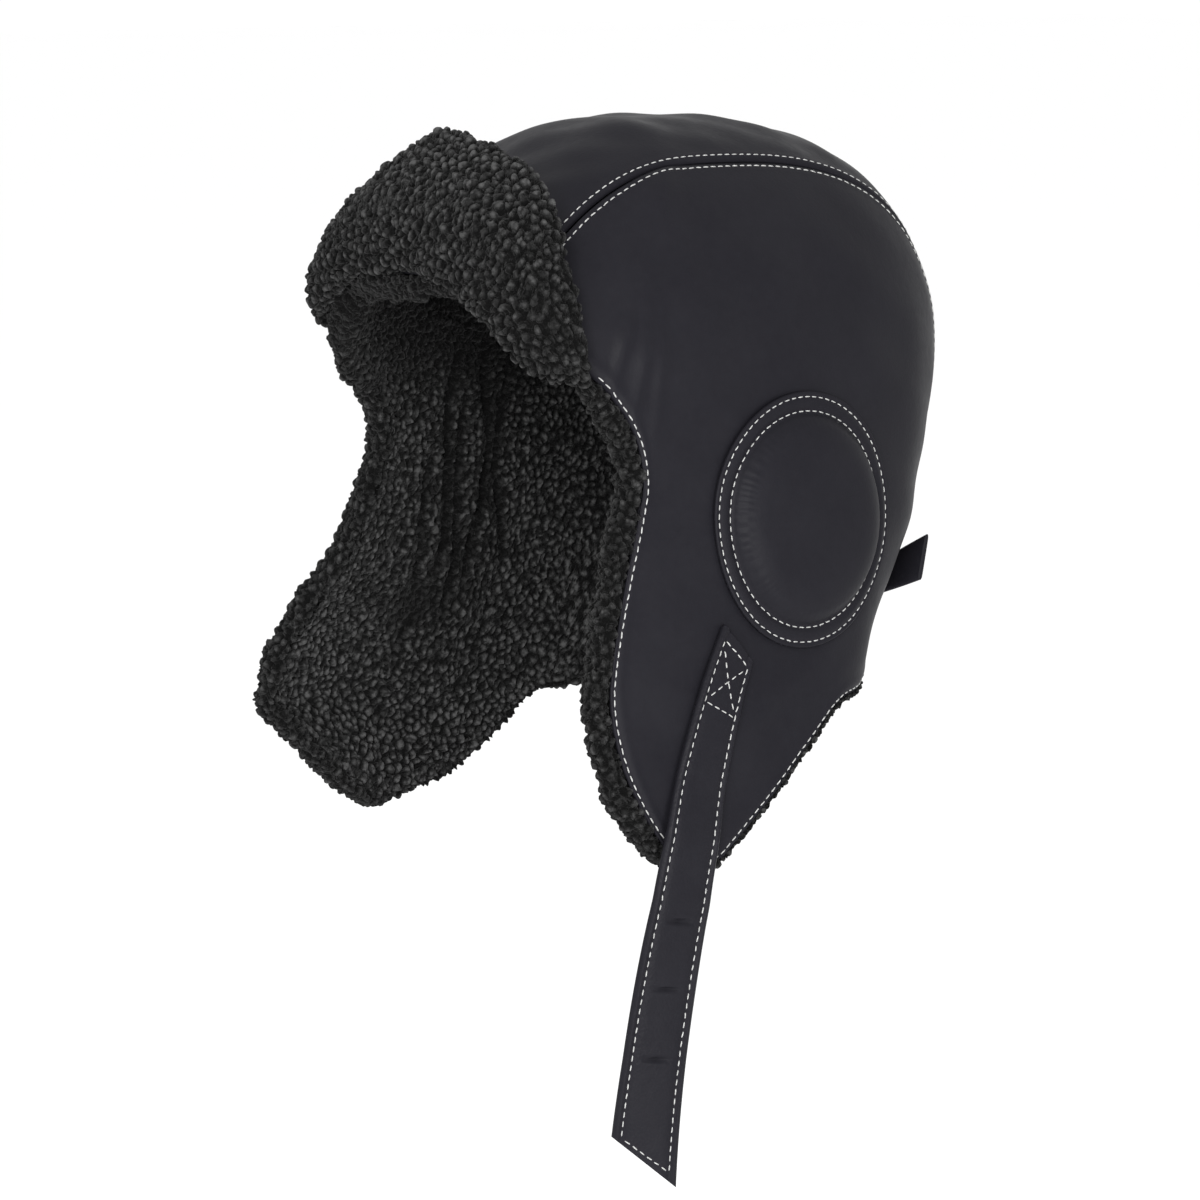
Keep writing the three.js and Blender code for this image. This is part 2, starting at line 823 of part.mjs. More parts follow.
function toManifold(geometry) {
  const flat = geometry.index ? geometry : geometry.clone();
  const mesh = new Mesh({
    numProp: 3,
    vertProperties: new Float32Array(flat.attributes.position.array),
    triVerts: flat.index
      ? new Uint32Array(flat.index.array)
      : Uint32Array.from({ length: flat.attributes.position.count }, (_, i) => i),
  });
  mesh.merge();
  return new Manifold(mesh);
}

function toGeometry(solid) {
  const mesh = solid.getMesh();
  return new THREE.BufferGeometry()
    .setAttribute("position", new THREE.BufferAttribute(mesh.vertProperties.slice(), 3))
    .setIndex([...mesh.triVerts]);
}

// Sets a flat drawing down on the leather: x along, y out of the leather, z across.
function settle(geometry, node, along, lift) {
  const out = node.n;
  const x = along.clone().addScaledVector(out, -along.dot(out)).normalize();
  const z = x.clone().cross(out);
  const matrix = new THREE.Matrix4().makeBasis(x, out, z);
  matrix.setPosition(offsetPoint(node, lift));
  return geometry.applyMatrix4(matrix);
}

function addBuckleStrap() {
  const lean = radians(buckleStrapLean);
  const bar = buckleWire / 2;
  const up = new THREE.Vector3(0, Math.sin(lean), Math.cos(lean));
  const home = sideNode(buckleY, buckleZ, -1);
  const drawn = loopedTab(buckleStrapLength, strapThickness / 2, bar, strapWidth);
  const tab = settle(drawn.clone(), home, up, buckleStrapLift);
  const flat = drawn.attributes.position;
  const places = tab.attributes.position;
  // Away from its bar, the strap follows the flap.
  for (let i = 0; i < places.count; i++) {
    const x = flat.getX(i);
    const z = flat.getZ(i);
    const node = sideNode(
      buckleY + x * Math.sin(lean) - z * Math.cos(lean),
      buckleZ + x * Math.cos(lean) + z * Math.sin(lean),
      -1,
    );
    const rigid = new THREE.Vector3().fromBufferAttribute(places, i);
    const bent = offsetPoint(node, buckleStrapLift + flat.getY(i));
    places.setXYZ(i, ...rigid.lerp(bent, smooth(x, buckleStrapStiff, buckleStrapBent)));
  }
  add("buckle_strap", tab, leather("strap"));
  const height = bar + fitGap + strapThickness / 2;
  const buckle = wireBuckle(buckleLength, strapWidth + 3, buckleWire, height);
  add("buckle", settle(buckle, home, up, buckleStrapLift), steel("buckle"));
}

// The nape strap runs round the back from the right, through the buckle and on as a free tail.
function addNapeStrap() {
  const node = (angle, z = napeStrapHeight) => {
    const side = angle > 180 ? -1 : 1;
    const p = formPoint(angle > 180 ? 360 - angle : angle, z);
    const n = formNormal(p);
    p.x *= side;
    n.x *= side;
    return { p, n };
  };
  const bar = napeBuckleWire / 2;
  const layer = napeStrapThickness / 2;
  const home = node(napeBarAngle);
  const left = new THREE.Vector3(0, 0, 1).cross(home.n).negate().normalize();
  const tab = loopedTab(napeTabLength, layer, bar, napeStrapWidth);
  const lift = 3 * fitGap;
  add("nape_tab", settle(tab, home, left, lift), leather("strap"));
  const height = bar + fitGap + layer;
  const buckle = wireBuckle(napeBuckleLength, napeStrapWidth + 3, napeBuckleWire, height);
  add("nape_buckle", settle(buckle, home, left, lift), steel("buckle"));

  const half = napeStrapThickness / 2;
  const over = lift + 2 * (height + layer) - 2 * bar + 2 * fitGap + half;
  const centres = [];
  const turns = 11;
  const underAngle = napeBarAngle + 12.5;
  for (let i = 0; i <= turns; i++) {
    const at = node(THREE.MathUtils.lerp(napeStrapEndAngle, underAngle, i / turns));
    centres.push({ centre: offsetPoint(at, 5 * fitGap + half), n: at.n });
  }
  for (const { back, share } of napeRise)
    centres.push({
      centre: offsetPoint(home, over * share).addScaledVector(left, -back * napeBuckleLength),
      n: home.n,
    });
  const flare = radians(napeTailFlare);
  const tip = radians(napeTailTip);
  const outwards = new THREE.Vector3(Math.cos(flare), Math.sin(flare), 0);
  const start = offsetPoint(home, over);
  for (const share of [0.35, 0.7, 1])
    centres.push({
      centre: start
        .clone()
        .addScaledVector(outwards, napeTailLength * share)
        .setZ(start.z + napeTailRise * share),
      n: new THREE.Vector3(-Math.sin(flare), Math.cos(flare), -Math.tan(tip))
        .lerp(home.n, 1 - share)
        .normalize(),
    });
  const frames = centres.map(({ centre, n }, i) => {
    const before = centres[Math.max(i - 1, 0)].centre;
    const after = centres[Math.min(i + 1, centres.length - 1)].centre;
    const along = after.clone().sub(before).normalize();
    const wide = along.clone().cross(n).normalize();
    const thick = wide.clone().cross(along).normalize();
    wide.multiplyScalar(napeStrapWidth / 2);
    if (i === centres.length - 1) wide.addScaledVector(along, napeTailSlant / 2);
    return { centre, wide, thick: thick.multiplyScalar(half) };
  });
  const hole = new THREE.BoxGeometry(napeBuckleLength, 12, napeBuckleWire + 2 * fitGap);
  hole.translate(-napeBuckleLength / 2 + 1, height, 0);
  const solid = toManifold(strap(frames)).subtract(toManifold(settle(hole, home, left, lift)));
  add("nape_strap", toGeometry(solid), leather("strap"));
}

// A panel's grid with its seam rows moved clear of the seam.
function clearOfSeam(grid, rows) {
  const moved = grid.map((row) => [...row]);
  for (const [i, j, along] of rows) {
    const { p, n } = grid[i][j];
    const x = Math.sign(p.x) * (centrePanelHalfWidth + (along * seamGap) / 2);
    moved[i][j] = { p: p.clone().setX(x), n };
  }
  return moved;
}

const left = sideGrid(1, centrePanelHalfWidth);
const right = sideGrid(-1, centrePanelHalfWidth);
const centre = centreGrid(centrePanelHalfWidth);
const sideSeam = left[0].map((node, j) => [0, j, 1]);
const centreSeams = centre.flatMap((row, i) => [
  [i, 0, -1],
  [i, centreColumns, -1],
]);
const panels = {
  crown_centre_panel: clearOfSeam(centre, centreSeams),
  side_panel_left: clearOfSeam(left, sideSeam),
  side_panel_right: clearOfSeam(right, sideSeam),
};
for (const [name, grid] of Object.entries(panels))
  add(name, sheet(grid, -leatherThickness, 0), leather("crown"));
add("fleece_lining", lining(left, right, centre), fleece("fleece"));
const flap = flapGrid();
add("front_flap_fleece", flapFleece(flap), fleece("fleece"));
const backingOutside = -(flapFleeceThickness / 2 + fitGap);
add(
  "front_flap_backing",
  sheet(
    flap.slice(1, -1).map((row) => row.slice(2, -2)),
    backingOutside - flapBackingThickness,
    backingOutside,
  ),
  leather("flap"),
);
add("ear_pad_left", earPad(1), leather("pad"));
add("ear_pad_right", earPad(-1), leather("pad"));
add("chin_strap", chinStrap(), leather("strap"));
addBuckleStrap();
addNapeStrap();

export default hat;
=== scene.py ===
import math

import bpy
import numpy as np
from mathutils import Matrix, Vector
from mathutils.kdtree import KDTree


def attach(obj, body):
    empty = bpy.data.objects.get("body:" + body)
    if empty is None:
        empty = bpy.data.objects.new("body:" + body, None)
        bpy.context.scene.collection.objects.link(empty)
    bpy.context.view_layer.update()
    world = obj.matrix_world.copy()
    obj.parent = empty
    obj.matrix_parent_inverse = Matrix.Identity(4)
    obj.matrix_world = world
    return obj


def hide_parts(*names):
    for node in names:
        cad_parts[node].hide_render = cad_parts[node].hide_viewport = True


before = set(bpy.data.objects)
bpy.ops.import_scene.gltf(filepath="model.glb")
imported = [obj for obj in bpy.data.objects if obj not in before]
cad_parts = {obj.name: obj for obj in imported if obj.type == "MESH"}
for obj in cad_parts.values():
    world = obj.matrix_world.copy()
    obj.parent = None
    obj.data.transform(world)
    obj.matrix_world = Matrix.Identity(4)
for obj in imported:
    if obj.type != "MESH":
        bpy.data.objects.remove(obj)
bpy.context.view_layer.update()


# Camera, at the photo's angle

view = {
    "turn": 51.0,  # degrees round from straight ahead, towards the wearer's left
    "height": 6.2,  # degrees above the horizon
    "distance": 1.8,  # from the form's middle
    "focal": 4752 / 1200,  # as a share of the picture's width
    "middle": (628 / 1200, 438.8 / 1200),  # where the form's middle is in the picture
}

hatForm = {
    "crownHeight": 0.123,
    "flapDrop": 0.136,
    "halfWidth": 0.087,
    "frontReach": 0.121,
    "backReach": 0.118,
    "planSquareness": 2.7,
    "domeSquareness": 2.3,
    "leather": 0.0014,
    "liningGap": 0.00055,
    "lining": 0.008,
    "seamX": 0.0495,
    "seamGap": 0.0004,
    "poleHeight": 0.020,
    "frontRay": 25.5,
    "napeRay": 229,
    "rowFade": 0.6,
}
# The mount at the hollow's top is this far above the form's height 0.
seat = hatForm["crownHeight"] - hatForm["leather"] - hatForm["liningGap"] - hatForm["lining"]


def placeCamera():
    turn, height = math.radians(view["turn"]), math.radians(view["height"])
    forward = Vector((-math.sin(turn) * math.cos(height), math.cos(turn) * math.cos(height), -math.sin(height)))
    right = Vector((math.cos(turn), math.sin(turn), 0))
    up = right.cross(forward)
    target = Vector((0, 0, -seat))
    bpy.ops.object.camera_add()
    camera = bpy.context.object
    camera.name = "photoCamera"
    camera.matrix_world = Matrix.Translation(target - forward * view["distance"]) @ Matrix(
        (right, up, -forward)
    ).transposed().to_4x4()
    camera.data.sensor_width = 36
    camera.data.lens = 36 * view["focal"]
    camera.data.shift_x = 0.5 - view["middle"][0]
    camera.data.shift_y = view["middle"][1] - 0.5
    camera.data.clip_start = 0.05
    bpy.context.scene.camera = camera


placeCamera()
print("camera placed")


# The head form, in metres, with height 0 at its widest

formSections = [
    {"level": -1.15, "side": 1.17, "front": 1.2, "back": 0.5},
    {"level": -0.85, "side": 1.15, "front": 1.25, "back": 0.52},
    {"level": -0.55, "side": 1.1, "front": 1.22, "back": 0.61},
    {"level": -0.27, "side": 1.04, "front": 1.1, "back": 0.85},
    {"level": 0, "side": 1.0, "front": 1.02, "back": 0.975},
    {"level": 0.36, "side": 1.0, "front": 0.98, "back": 1.083},
    {"level": 0.6, "side": 1.0, "front": 0.9, "back": 1.14},
    {"level": 1.0, "side": 1.0, "front": 0.77, "back": 1.3},
]
faceEdge = [
    {"angle": 39, "level": 0.34},
    {"angle": 46.5, "level": 0.235},
    {"angle": 52.3, "level": 0.1},
    {"angle": 54.2, "level": -0.03},
    {"angle": 53.2, "level": -0.13},
    {"angle": 50.6, "level": -0.3},
    {"angle": 48.4, "level": -0.5},
    {"angle": 48.2, "level": -0.63},
    {"angle": 50.4, "level": -0.78},
    {"angle": 54.5, "level": -0.92},
]
flapBottom = [
    {"angle": 59, "level": -1.02},
    {"angle": 64.5, "level": -1.06},
    {"angle": 70, "level": -1.035},
]
napeEdge = [
    {"angle": 76, "level": -0.965},
    {"angle": 84.5, "level": -0.868},
    {"angle": 93, "level": -0.77},
    {"angle": 104, "level": -0.67},
    {"angle": 120, "level": -0.635},
]
rightFlare = [  # shares of the flap's drop
    {"level": -1.15, "flare": 0.02, "drop": 0},
    {"level": -0.95, "flare": 0.082, "drop": 0.096},
    {"level": -0.78, "flare": 0.175, "drop": 0.135},
    {"level": -0.65, "flare": 0.152, "drop": 0.125},
    {"level": -0.5, "flare": 0.106, "drop": 0.085},
    {"level": -0.3, "flare": 0.032, "drop": 0.022},
    {"level": 0, "flare": 0, "drop": 0},
]


def readTable(rows, key, column, at):
    keys = np.array([row[key] for row in rows], float)
    values = np.array([row[column] for row in rows], float)
    last = len(rows) - 1
    low = np.maximum(np.arange(last + 1) - 1, 0)
    high = np.minimum(np.arange(last + 1) + 1, last)
    slopes = (values[high] - values[low]) / (keys[high] - keys[low])
    i = np.clip(np.searchsorted(keys, at), 1, last)
    span = keys[i] - keys[i - 1]
    t = np.clip((at - keys[i - 1]) / span, 0, 1)
    return (
        (2 * t**3 - 3 * t**2 + 1) * values[i - 1]
        + (t**3 - 2 * t**2 + t) * span * slopes[i - 1]
        + (3 * t**2 - 2 * t**3) * values[i]
        + (t**3 - t**2) * span * slopes[i]
    )


def smoothStep(value, low, high):
    t = np.clip((value - low) / (high - low), 0, 1)
    return t * t * (3 - 2 * t)


def levelOf(z):
    return np.where(z >= 0, z / hatForm["crownHeight"], z / hatForm["flapDrop"])


def heightOf(level):
    return level * (hatForm["crownHeight"] if level >= 0 else hatForm["flapDrop"])


def reachAt(z):
    level = np.clip(levelOf(z), formSections[0]["level"], 1)
    return (
        hatForm["halfWidth"] * readTable(formSections, "level", "side", level),
        hatForm["frontReach"] * readTable(formSections, "level", "front", level),
        hatForm["backReach"] * readTable(formSections, "level", "back", level),
    )


def planLeft(z):  # how much of the plan the dome leaves at a height
    rise = np.clip(z / hatForm["crownHeight"], 0, 1) ** hatForm["domeSquareness"]
    return np.maximum(1 - rise, 0) ** (hatForm["planSquareness"] / hatForm["domeSquareness"])


def formPoint(angle, z):
    turn = np.radians(angle)
    side, front, back = reachAt(z)
    length = np.where(np.cos(turn) > 0, front, back)
    square = hatForm["planSquareness"]
    spread = (np.abs(np.sin(turn)) / side) ** square + (np.abs(np.cos(turn)) / length) ** square
    out = (planLeft(z) / spread) ** (1 / square)
    return np.stack([out * np.sin(turn), -out * np.cos(turn), z + 0 * out], -1)


def archPoint(x, ray):
    turn = np.radians(ray)
    x = x + 0 * turn
    low, high = 0 * turn, 0 * turn + 0.3
    square = hatForm["planSquareness"]
    for _ in range(34):
        middle = (low + high) / 2
        y = -np.cos(turn) * middle
        z = hatForm["poleHeight"] + np.sin(turn) * middle
        side, front, back = reachAt(z)
        plan = (np.abs(x) / side) ** square + (np.abs(y) / np.where(y < 0, front, back)) ** square
        dome = plan ** (hatForm["domeSquareness"] / square)
        value = dome + np.maximum(z / hatForm["crownHeight"], 0) ** hatForm["domeSquareness"] - 1
        low = np.where(value < 0, middle, low)
        high = np.where(value < 0, high, middle)
    return np.stack([x, -np.cos(turn) * low, hatForm["poleHeight"] + np.sin(turn) * low], -1)


def flareRight(points):
    level = np.clip(levelOf(points[..., 2]), -1.15, 0)
    angle = np.degrees(np.arctan2(points[..., 0], -points[..., 1]))
    out = hatForm["flapDrop"] * readTable(rightFlare, "level", "flare", level) * (1 - smoothStep(angle, 52, 92))
    return points + np.stack([0.74 * out, -0.67 * out, 0 * out], -1)


def panelPoint(angle, z, side):  # by plan angle and height
    if side > 0:
        return formPoint(angle, z)
    level = np.clip(levelOf(z), -1.15, 0)
    share = smoothStep(angle, 58, 82) * (1 - smoothStep(angle, 112, 150))
    drop = hatForm["flapDrop"] * readTable(rightFlare, "level", "drop", level) * share
    points = flareRight(formPoint(angle, z - drop))
    return points * (-1, 1, 1)


def sidePoint(y, z, side):  # by how far back and up
    reach, front, back = reachAt(z)
    square = hatForm["planSquareness"]
    length = np.where(y < 0, front, back)
    x = reach * np.maximum(planLeft(z) - (np.abs(y) / length) ** square, 0) ** (1 / square)
    points = np.stack([x, y + 0 * x, z + 0 * x], -1)
    return points if side > 0 else flareRight(points) * (-1, 1, 1)


def sideNormal(y, z, side, step=0.0005):
    y, z = np.asarray(y, float), np.asarray(z, float)
    slopeY = sidePoint(y + step, z, side) - sidePoint(y - step, z, side)
    slopeZ = sidePoint(y, z + step, side) - sidePoint(y, z - step, side)
    normals = unit(np.cross(slopeY, slopeZ))
    return np.where((normals[..., :1] * side) < 0, -normals, normals)


def splineAt(points, share):
    points = np.asarray(points, float)
    last = len(points) - 1
    place = np.clip(share, 0, 1) * last
    i = np.minimum(place.astype(int), last - 1)
    t = (place - i)[..., None]
    a, b, c, d = (points[np.clip(i + k, 0, last)] for k in (-1, 0, 1, 2))
    slopeB, slopeC = (c - a) / 2, (d - b) / 2
    return (
        (2 * b - 2 * c + slopeB + slopeC) * t**3
        + (-3 * b + 3 * c - 2 * slopeB - slopeC) * t**2
        + slopeB * t
        + b
    )


def seamAt(share, x):  # the seam as plan angle and height
    ray = hatForm["frontRay"] + (hatForm["napeRay"] - hatForm["frontRay"]) * share
    points = archPoint(x, ray)
    angle = np.degrees(np.arctan2(points[..., 0], -points[..., 1]))
    return np.stack([angle, points[..., 2]], -1)


def edgeRows(rows):
    return [(row["angle"], heightOf(row["level"])) for row in rows]


def sideSurface(side, across, down, seamX=hatForm["seamX"]):
    ends = seamAt(np.array([0.0, 1.0]), seamX)
    bottom = edgeRows(flapBottom)
    face = splineAt([ends[0], *edgeRows(faceEdge), bottom[0]], down)
    nape = splineAt([ends[1], *edgeRows(napeEdge[::-1]), bottom[-1]], down)
    seamLine = seamAt(across, seamX)
    bottomLine = splineAt(bottom, across)
    fade = (down + hatForm["rowFade"] * down * (1 - down))[..., None]
    across = across[..., None]
    ruled = seamLine * (1 - fade) + bottomLine * fade
    crossed = face * (1 - across) + nape * across
    top = ends[0] * (1 - across) + ends[1] * across
    foot = np.array(bottom[0]) * (1 - across) + np.array(bottom[-1]) * across
    place = ruled + crossed - top * (1 - fade) - foot * fade
    return panelPoint(place[..., 0], place[..., 1], side)


def centreSurface(across, along, seamX=hatForm["seamX"]):
    ray = hatForm["frontRay"] + (hatForm["napeRay"] - hatForm["frontRay"]) * along
    return archPoint((1 - 2 * across) * seamX, ray)


def unit(vectors):
    return vectors / np.maximum(np.linalg.norm(vectors, axis=-1, keepdims=True), 1e-12)


def gridNormals(points, middle=(0, 0, 0)):
    columns = np.gradient(points, axis=1)
    rows = np.gradient(points, axis=0)
    normals = unit(np.cross(columns, rows))
    if np.sum(normals * (points - np.array(middle))) < 0:
        normals = -normals
    return normals


def toRow(points):
    return points - (0, 0, seat)


# Modelling helpers

def deselectAll():
    if bpy.context.object and bpy.context.object.mode != "OBJECT":
        bpy.ops.object.mode_set(mode="OBJECT")
    bpy.ops.object.select_all(action="DESELECT")


def gridPiece(name, surface):
    rows, columns = surface.shape[0] - 1, surface.shape[1] - 1
    deselectAll()
    bpy.ops.mesh.primitive_grid_add(x_subdivisions=columns, y_subdivisions=rows, size=2)
    piece = bpy.context.object
    piece.name = name
    piece.data.name = name
    piece.data.vertices.foreach_set("co", surface.reshape(-1).astype(np.float32))
    piece.data.update()
    return piece


def vertexPlaces(piece):
    places = np.empty(len(piece.data.vertices) * 3, np.float32)
    piece.data.vertices.foreach_get("co", places)
    return places.reshape(-1, 3).astype(float)


def addAttribute(piece, name, values):
    layer = piece.data.attributes.new(name, "FLOAT", "POINT")
    layer.data.foreach_set("value", np.asarray(values, np.float32).reshape(-1))


def applyModifier(piece, kind, **settings):
    bpy.context.view_layer.objects.active = piece
    modifier = piece.modifiers.new(kind.title(), kind)
    for key, value in settings.items():
        setattr(modifier, key, value)
    bpy.ops.object.modifier_apply(modifier=modifier.name)


def editMesh(piece, *steps):
    deselectAll()
    piece.select_set(True)
    bpy.context.view_layer.objects.active = piece
    bpy.ops.object.mode_set(mode="EDIT")
    bpy.ops.mesh.select_all(action="SELECT")
    for step in steps:
        step()
    bpy.ops.object.mode_set(mode="OBJECT")


def weld():
    bpy.ops.mesh.remove_doubles(threshold=0.00001)


def faceOut():
    bpy.ops.mesh.normals_make_consistent(inside=False)


def finishPiece(piece, material, slotName, *nodes):
    deselectAll()
    piece.select_set(True)
    bpy.context.view_layer.objects.active = piece
    bpy.ops.object.shade_smooth()
    piece.data.materials.clear()
    piece.data.materials.append(material)
    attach(piece, "root")
    if nodes:
        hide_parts(*nodes)


def ripples(points, longest, shortest, count, seed):
    draw = np.random.default_rng(seed)
    total = np.zeros(points.shape[:-1])
    for _ in range(count):
        direction = unit(draw.normal(size=3))
        wave = np.exp(draw.uniform(np.log(shortest), np.log(longest)))
        total += np.sin(2 * np.pi * (points @ direction) / wave + draw.uniform(0, 2 * np.pi))
    return total / math.sqrt(count)


def resample(path, step, closed=False):
    path = np.asarray(path, float)
    if closed:
        path = np.vstack([path, path[:1]])
    runs = np.concatenate([[0], np.cumsum(np.linalg.norm(np.diff(path[:, :3], axis=0), axis=1))])
    count = max(2, int(round(runs[-1] / step)))
    at = np.linspace(0, runs[-1], count + 1)
    return np.stack([np.interp(at, runs, path[:, k]) for k in range(path.shape[1])], -1)


# Materials

class Link:
    def __init__(self, paint, socket):
        self.paint, self.socket = paint, socket

    def maths(self, operation, other, flip=False):
        first, second = (other, self) if flip else (self, other)
        return self.paint.node("ShaderNodeMath", {"operation": operation}, [first, second])

    def __add__(self, other):
        return self.maths("ADD", other)

    def __mul__(self, other):
        return self.maths("MULTIPLY", other)

    def __sub__(self, other):
        return self.maths("SUBTRACT", other)

    def __rsub__(self, other):
        return self.maths("SUBTRACT", other, True)

    def __truediv__(self, other):
        return self.maths("DIVIDE", other)

    def __pow__(self, other):
        return self.maths("POWER", other)

    __radd__ = __add__
    __rmul__ = __mul__


class Paint:
    def __init__(self, name):
        self.material = bpy.data.materials.new(name)
        self.material.use_nodes = True
        self.tree = self.material.node_tree
        self.shader = self.tree.nodes["Principled BSDF"]

    def node(self, kind, settings=None, values=(), output=0):
        node = self.tree.nodes.new(kind)
        for key, value in (settings or {}).items():
            if key == "stops":
                ramp = node.color_ramp.elements
                while len(ramp) < len(value):
                    ramp.new(0.5)
                for element, (place, shade) in zip(ramp, value):
                    element.position = place
                    element.color = (*shade, 1) if isinstance(shade, tuple) else (shade, shade, shade, 1)
            else:
                setattr(node, key, value)
        pairs = values.items() if isinstance(values, dict) else enumerate(values)
        for key, value in pairs:
            self.feed(node.inputs[key], value)
        return Link(self, node.outputs[output])

    def feed(self, socket, value):
        if isinstance(value, Link):
            self.tree.links.new(value.socket, socket)
        else:
            socket.default_value = value

    def set(self, **values):
        for name, value in values.items():
            self.feed(self.shader.inputs[name.replace("_", " ")], value)

    def place(self):
        return self.node("ShaderNodeTexCoord", output="Object")

    def attribute(self, name):
        return self.node("ShaderNodeAttribute", {"attribute_name": name}, output="Fac")

    def noise(self, scale, detail=3, roughness=0.5, place=None):
        values = {"Vector": place or self.place(), "Scale": scale, "Detail": detail, "Roughness": roughness}
        return self.node("ShaderNodeTexNoise", values=values)

    def cells(self, scale, feature="F1", place=None, settings=None):
        values = {"Vector": place or self.place(), "Scale": scale}
        made = {"feature": feature, **(settings or {})}
        return self.node("ShaderNodeTexVoronoi", made, values, "Distance")

    def ramp(self, value, *stops):
        return self.node("ShaderNodeValToRGB", {"stops": stops}, [value])

    def span(self, value, low, high, lowTo, highTo):
        return self.node("ShaderNodeMapRange", values=[value, low, high, lowTo, highTo])

    def mix(self, share, first, second):
        node = self.tree.nodes.new("ShaderNodeMix")
        node.data_type = "RGBA"
        for key, value in ((0, share), (6, first), (7, second)):
            self.feed(node.inputs[key], value)
        return Link(self, node.outputs[2])

    def bump(self, height, distance, strength=1.0, under=None):
        values = {"Height": height, "Distance": distance, "Strength": strength}
        if under:
            values["Normal"] = under
        return self.node("ShaderNodeBump", values=values)


def shade(r, g, b):
    return (r, g, b, 1)


leatherLook = {
    "deep": (0.0078, 0.0075, 0.0097),
    "worn": (0.0098, 0.0095, 0.0119),
    "specular": 0.045,
    "roughness": (0.38, 0.50),
    "grain": 0.00005,  # height of the grain, metres
}


def leatherPaint(name, grain=1.0, gloss=0.0):
    look = leatherLook
    paint = Paint(name)
    cloud = paint.noise(28, 4, 0.55)
    fine = paint.noise(260, 3, 0.6)
    pores = paint.cells(900, "F1", settings={})
    creases = paint.noise(90, 5, 0.65)
    worn = paint.ramp(cloud * 0.7 + fine * 0.3, (0.35, 0.0), (0.68, 1.0))
    paint.set(
        Base_Color=paint.mix(worn, shade(*look["deep"]), shade(*look["worn"])),
        Roughness=paint.span(cloud * 0.5 + fine * 0.5, 0.3, 0.7, look["roughness"][0] - gloss, look["roughness"][1] - gloss),
        Normal=paint.bump(
            pores * 0.8 + fine * 0.5, look["grain"] * grain, 0.7,
            paint.bump(creases, 0.00018 * grain, 0.5, paint.bump(cloud, 0.0012, 0.35)),
        ),
    )
    paint.shader.inputs["Specular IOR Level"].default_value = look["specular"]
    return paint.material


# Fleece colours: crevice is painted shade between the nubs, body the fleece's own colour, tip painted light on the
# nubs' tops
fleeceLook = {
    "creviceShade": (0.0008, 0.0008, 0.0008),
    "body": (0.0105, 0.0105, 0.0105),
    "tip": (0.0440, 0.0440, 0.0440),
}


def fleecePaint(name):
    look = fleeceLook
    paint = Paint(name)
    pile = paint.attribute("pile")
    tone = paint.attribute("tone")
    bend = paint.node("ShaderNodeVectorMath", {"operation": "MULTIPLY_ADD"}, [
        paint.node("ShaderNodeTexNoise", values={"Vector": paint.place(), "Scale": 420, "Detail": 2}, output=1),
        (0.0016, 0.0016, 0.0016), paint.place(),
    ])
    first = paint.cells(500, "F1", bend)
    curls = 1 - first * first * 1.8
    strand = paint.noise(1500, 3, 0.6)
    # The ramp paints shade low on the pile and light at the nub tops; tone adds each nub's own random tone and the
    # painted shade given to the piece; curls and strands add their own pattern, with painted shade at the curls' edges
    lit = (pile - 0.5) * 1.1 + tone * 0.12 + (curls - 0.6) * 0.45 + (strand - 0.5) * 0.5
    low = paint.ramp(lit, (0.0, look["creviceShade"]), (0.40, look["body"]), (0.80, look["tip"]))
    paint.set(
        Base_Color=low,
        Roughness=0.92,
        Normal=paint.bump(curls * 0.8 + strand * 0.5, 0.0010, 1.0),
    )
    paint.shader.inputs["Specular IOR Level"].default_value = 0.08
    paint.shader.inputs["Sheen Weight"].default_value = 0.04
    paint.shader.inputs["Sheen Roughness"].default_value = 0.5
    return paint.material


def threadPaint(name):
    paint = Paint(name)
    twist = paint.noise(1500, 2, 0.5)
    paint.set(
        Base_Color=paint.ramp(twist, (0.3, (0.20, 0.20, 0.195)), (0.7, (0.38, 0.38, 0.37))),
        Roughness=0.7,
        Normal=paint.bump(twist, 0.0002, 0.6),
    )
    return paint.material


def steelPaint(name):
    paint = Paint(name)
    wear = paint.noise(420, 4, 0.6)
    paint.set(
        Base_Color=paint.ramp(wear, (0.3, (0.30, 0.30, 0.31)), (0.75, (0.46, 0.46, 0.47))),
        Roughness=paint.span(wear, 0.3, 0.7, 0.22, 0.42),
        Metallic=1.0,
        Normal=paint.bump(wear, 0.00005, 0.4),
    )
    return paint.material


leather = leatherPaint("garmentLeather")
strapLeather = leatherPaint("strapLeather", grain=2.6, gloss=0.05)
fleece = fleecePaint("curlyFleece")
thread = threadPaint("lightThread")
steel = steelPaint("darkNickel")
print("materials made")


# Leather panels

panelLook = {
    "step": 0.0017,  # fineness
    "slack": 0.00045,  # soft unevenness of the hide
    "hemRound": 0.0009,
    "seamSink": 0.0009,
    "seamRidge": 0.0007,
    "seamRow": 0.0024,  # from the seam to each row of topstitching
    "hemRow": 0.0017,
}


def sharesOf(rows, columns):
    return np.meshgrid(np.linspace(0, 1, columns + 1), np.linspace(0, 1, rows + 1))


def edgeRuns(surface):  # metres from each side of a grid: first column, last column, first row, last row
    across = np.linalg.norm(np.diff(surface, axis=1), axis=2)
    down = np.linalg.norm(np.diff(surface, axis=0), axis=2)
    left = np.concatenate([np.zeros((surface.shape[0], 1)), np.cumsum(across, 1)], 1)
    top = np.concatenate([np.zeros((1, surface.shape[1])), np.cumsum(down, 0)], 0)
    return left, left[:, -1:] - left, top, top[-1:] - top


def seamRelief(distance):  # the valley at the seam, the ridge to the stitches and the dent they pull
    look = panelLook
    valley = -look["seamSink"] * np.exp(-((distance / 0.0006) ** 2))
    ridge = look["seamRidge"] * smoothStep(distance, 0.0004, 0.0012) * (1 - smoothStep(distance, 0.0021, 0.0036))
    row = -0.0003 * np.exp(-(((distance - look["seamRow"]) / 0.0006) ** 2))
    return valley + ridge + row


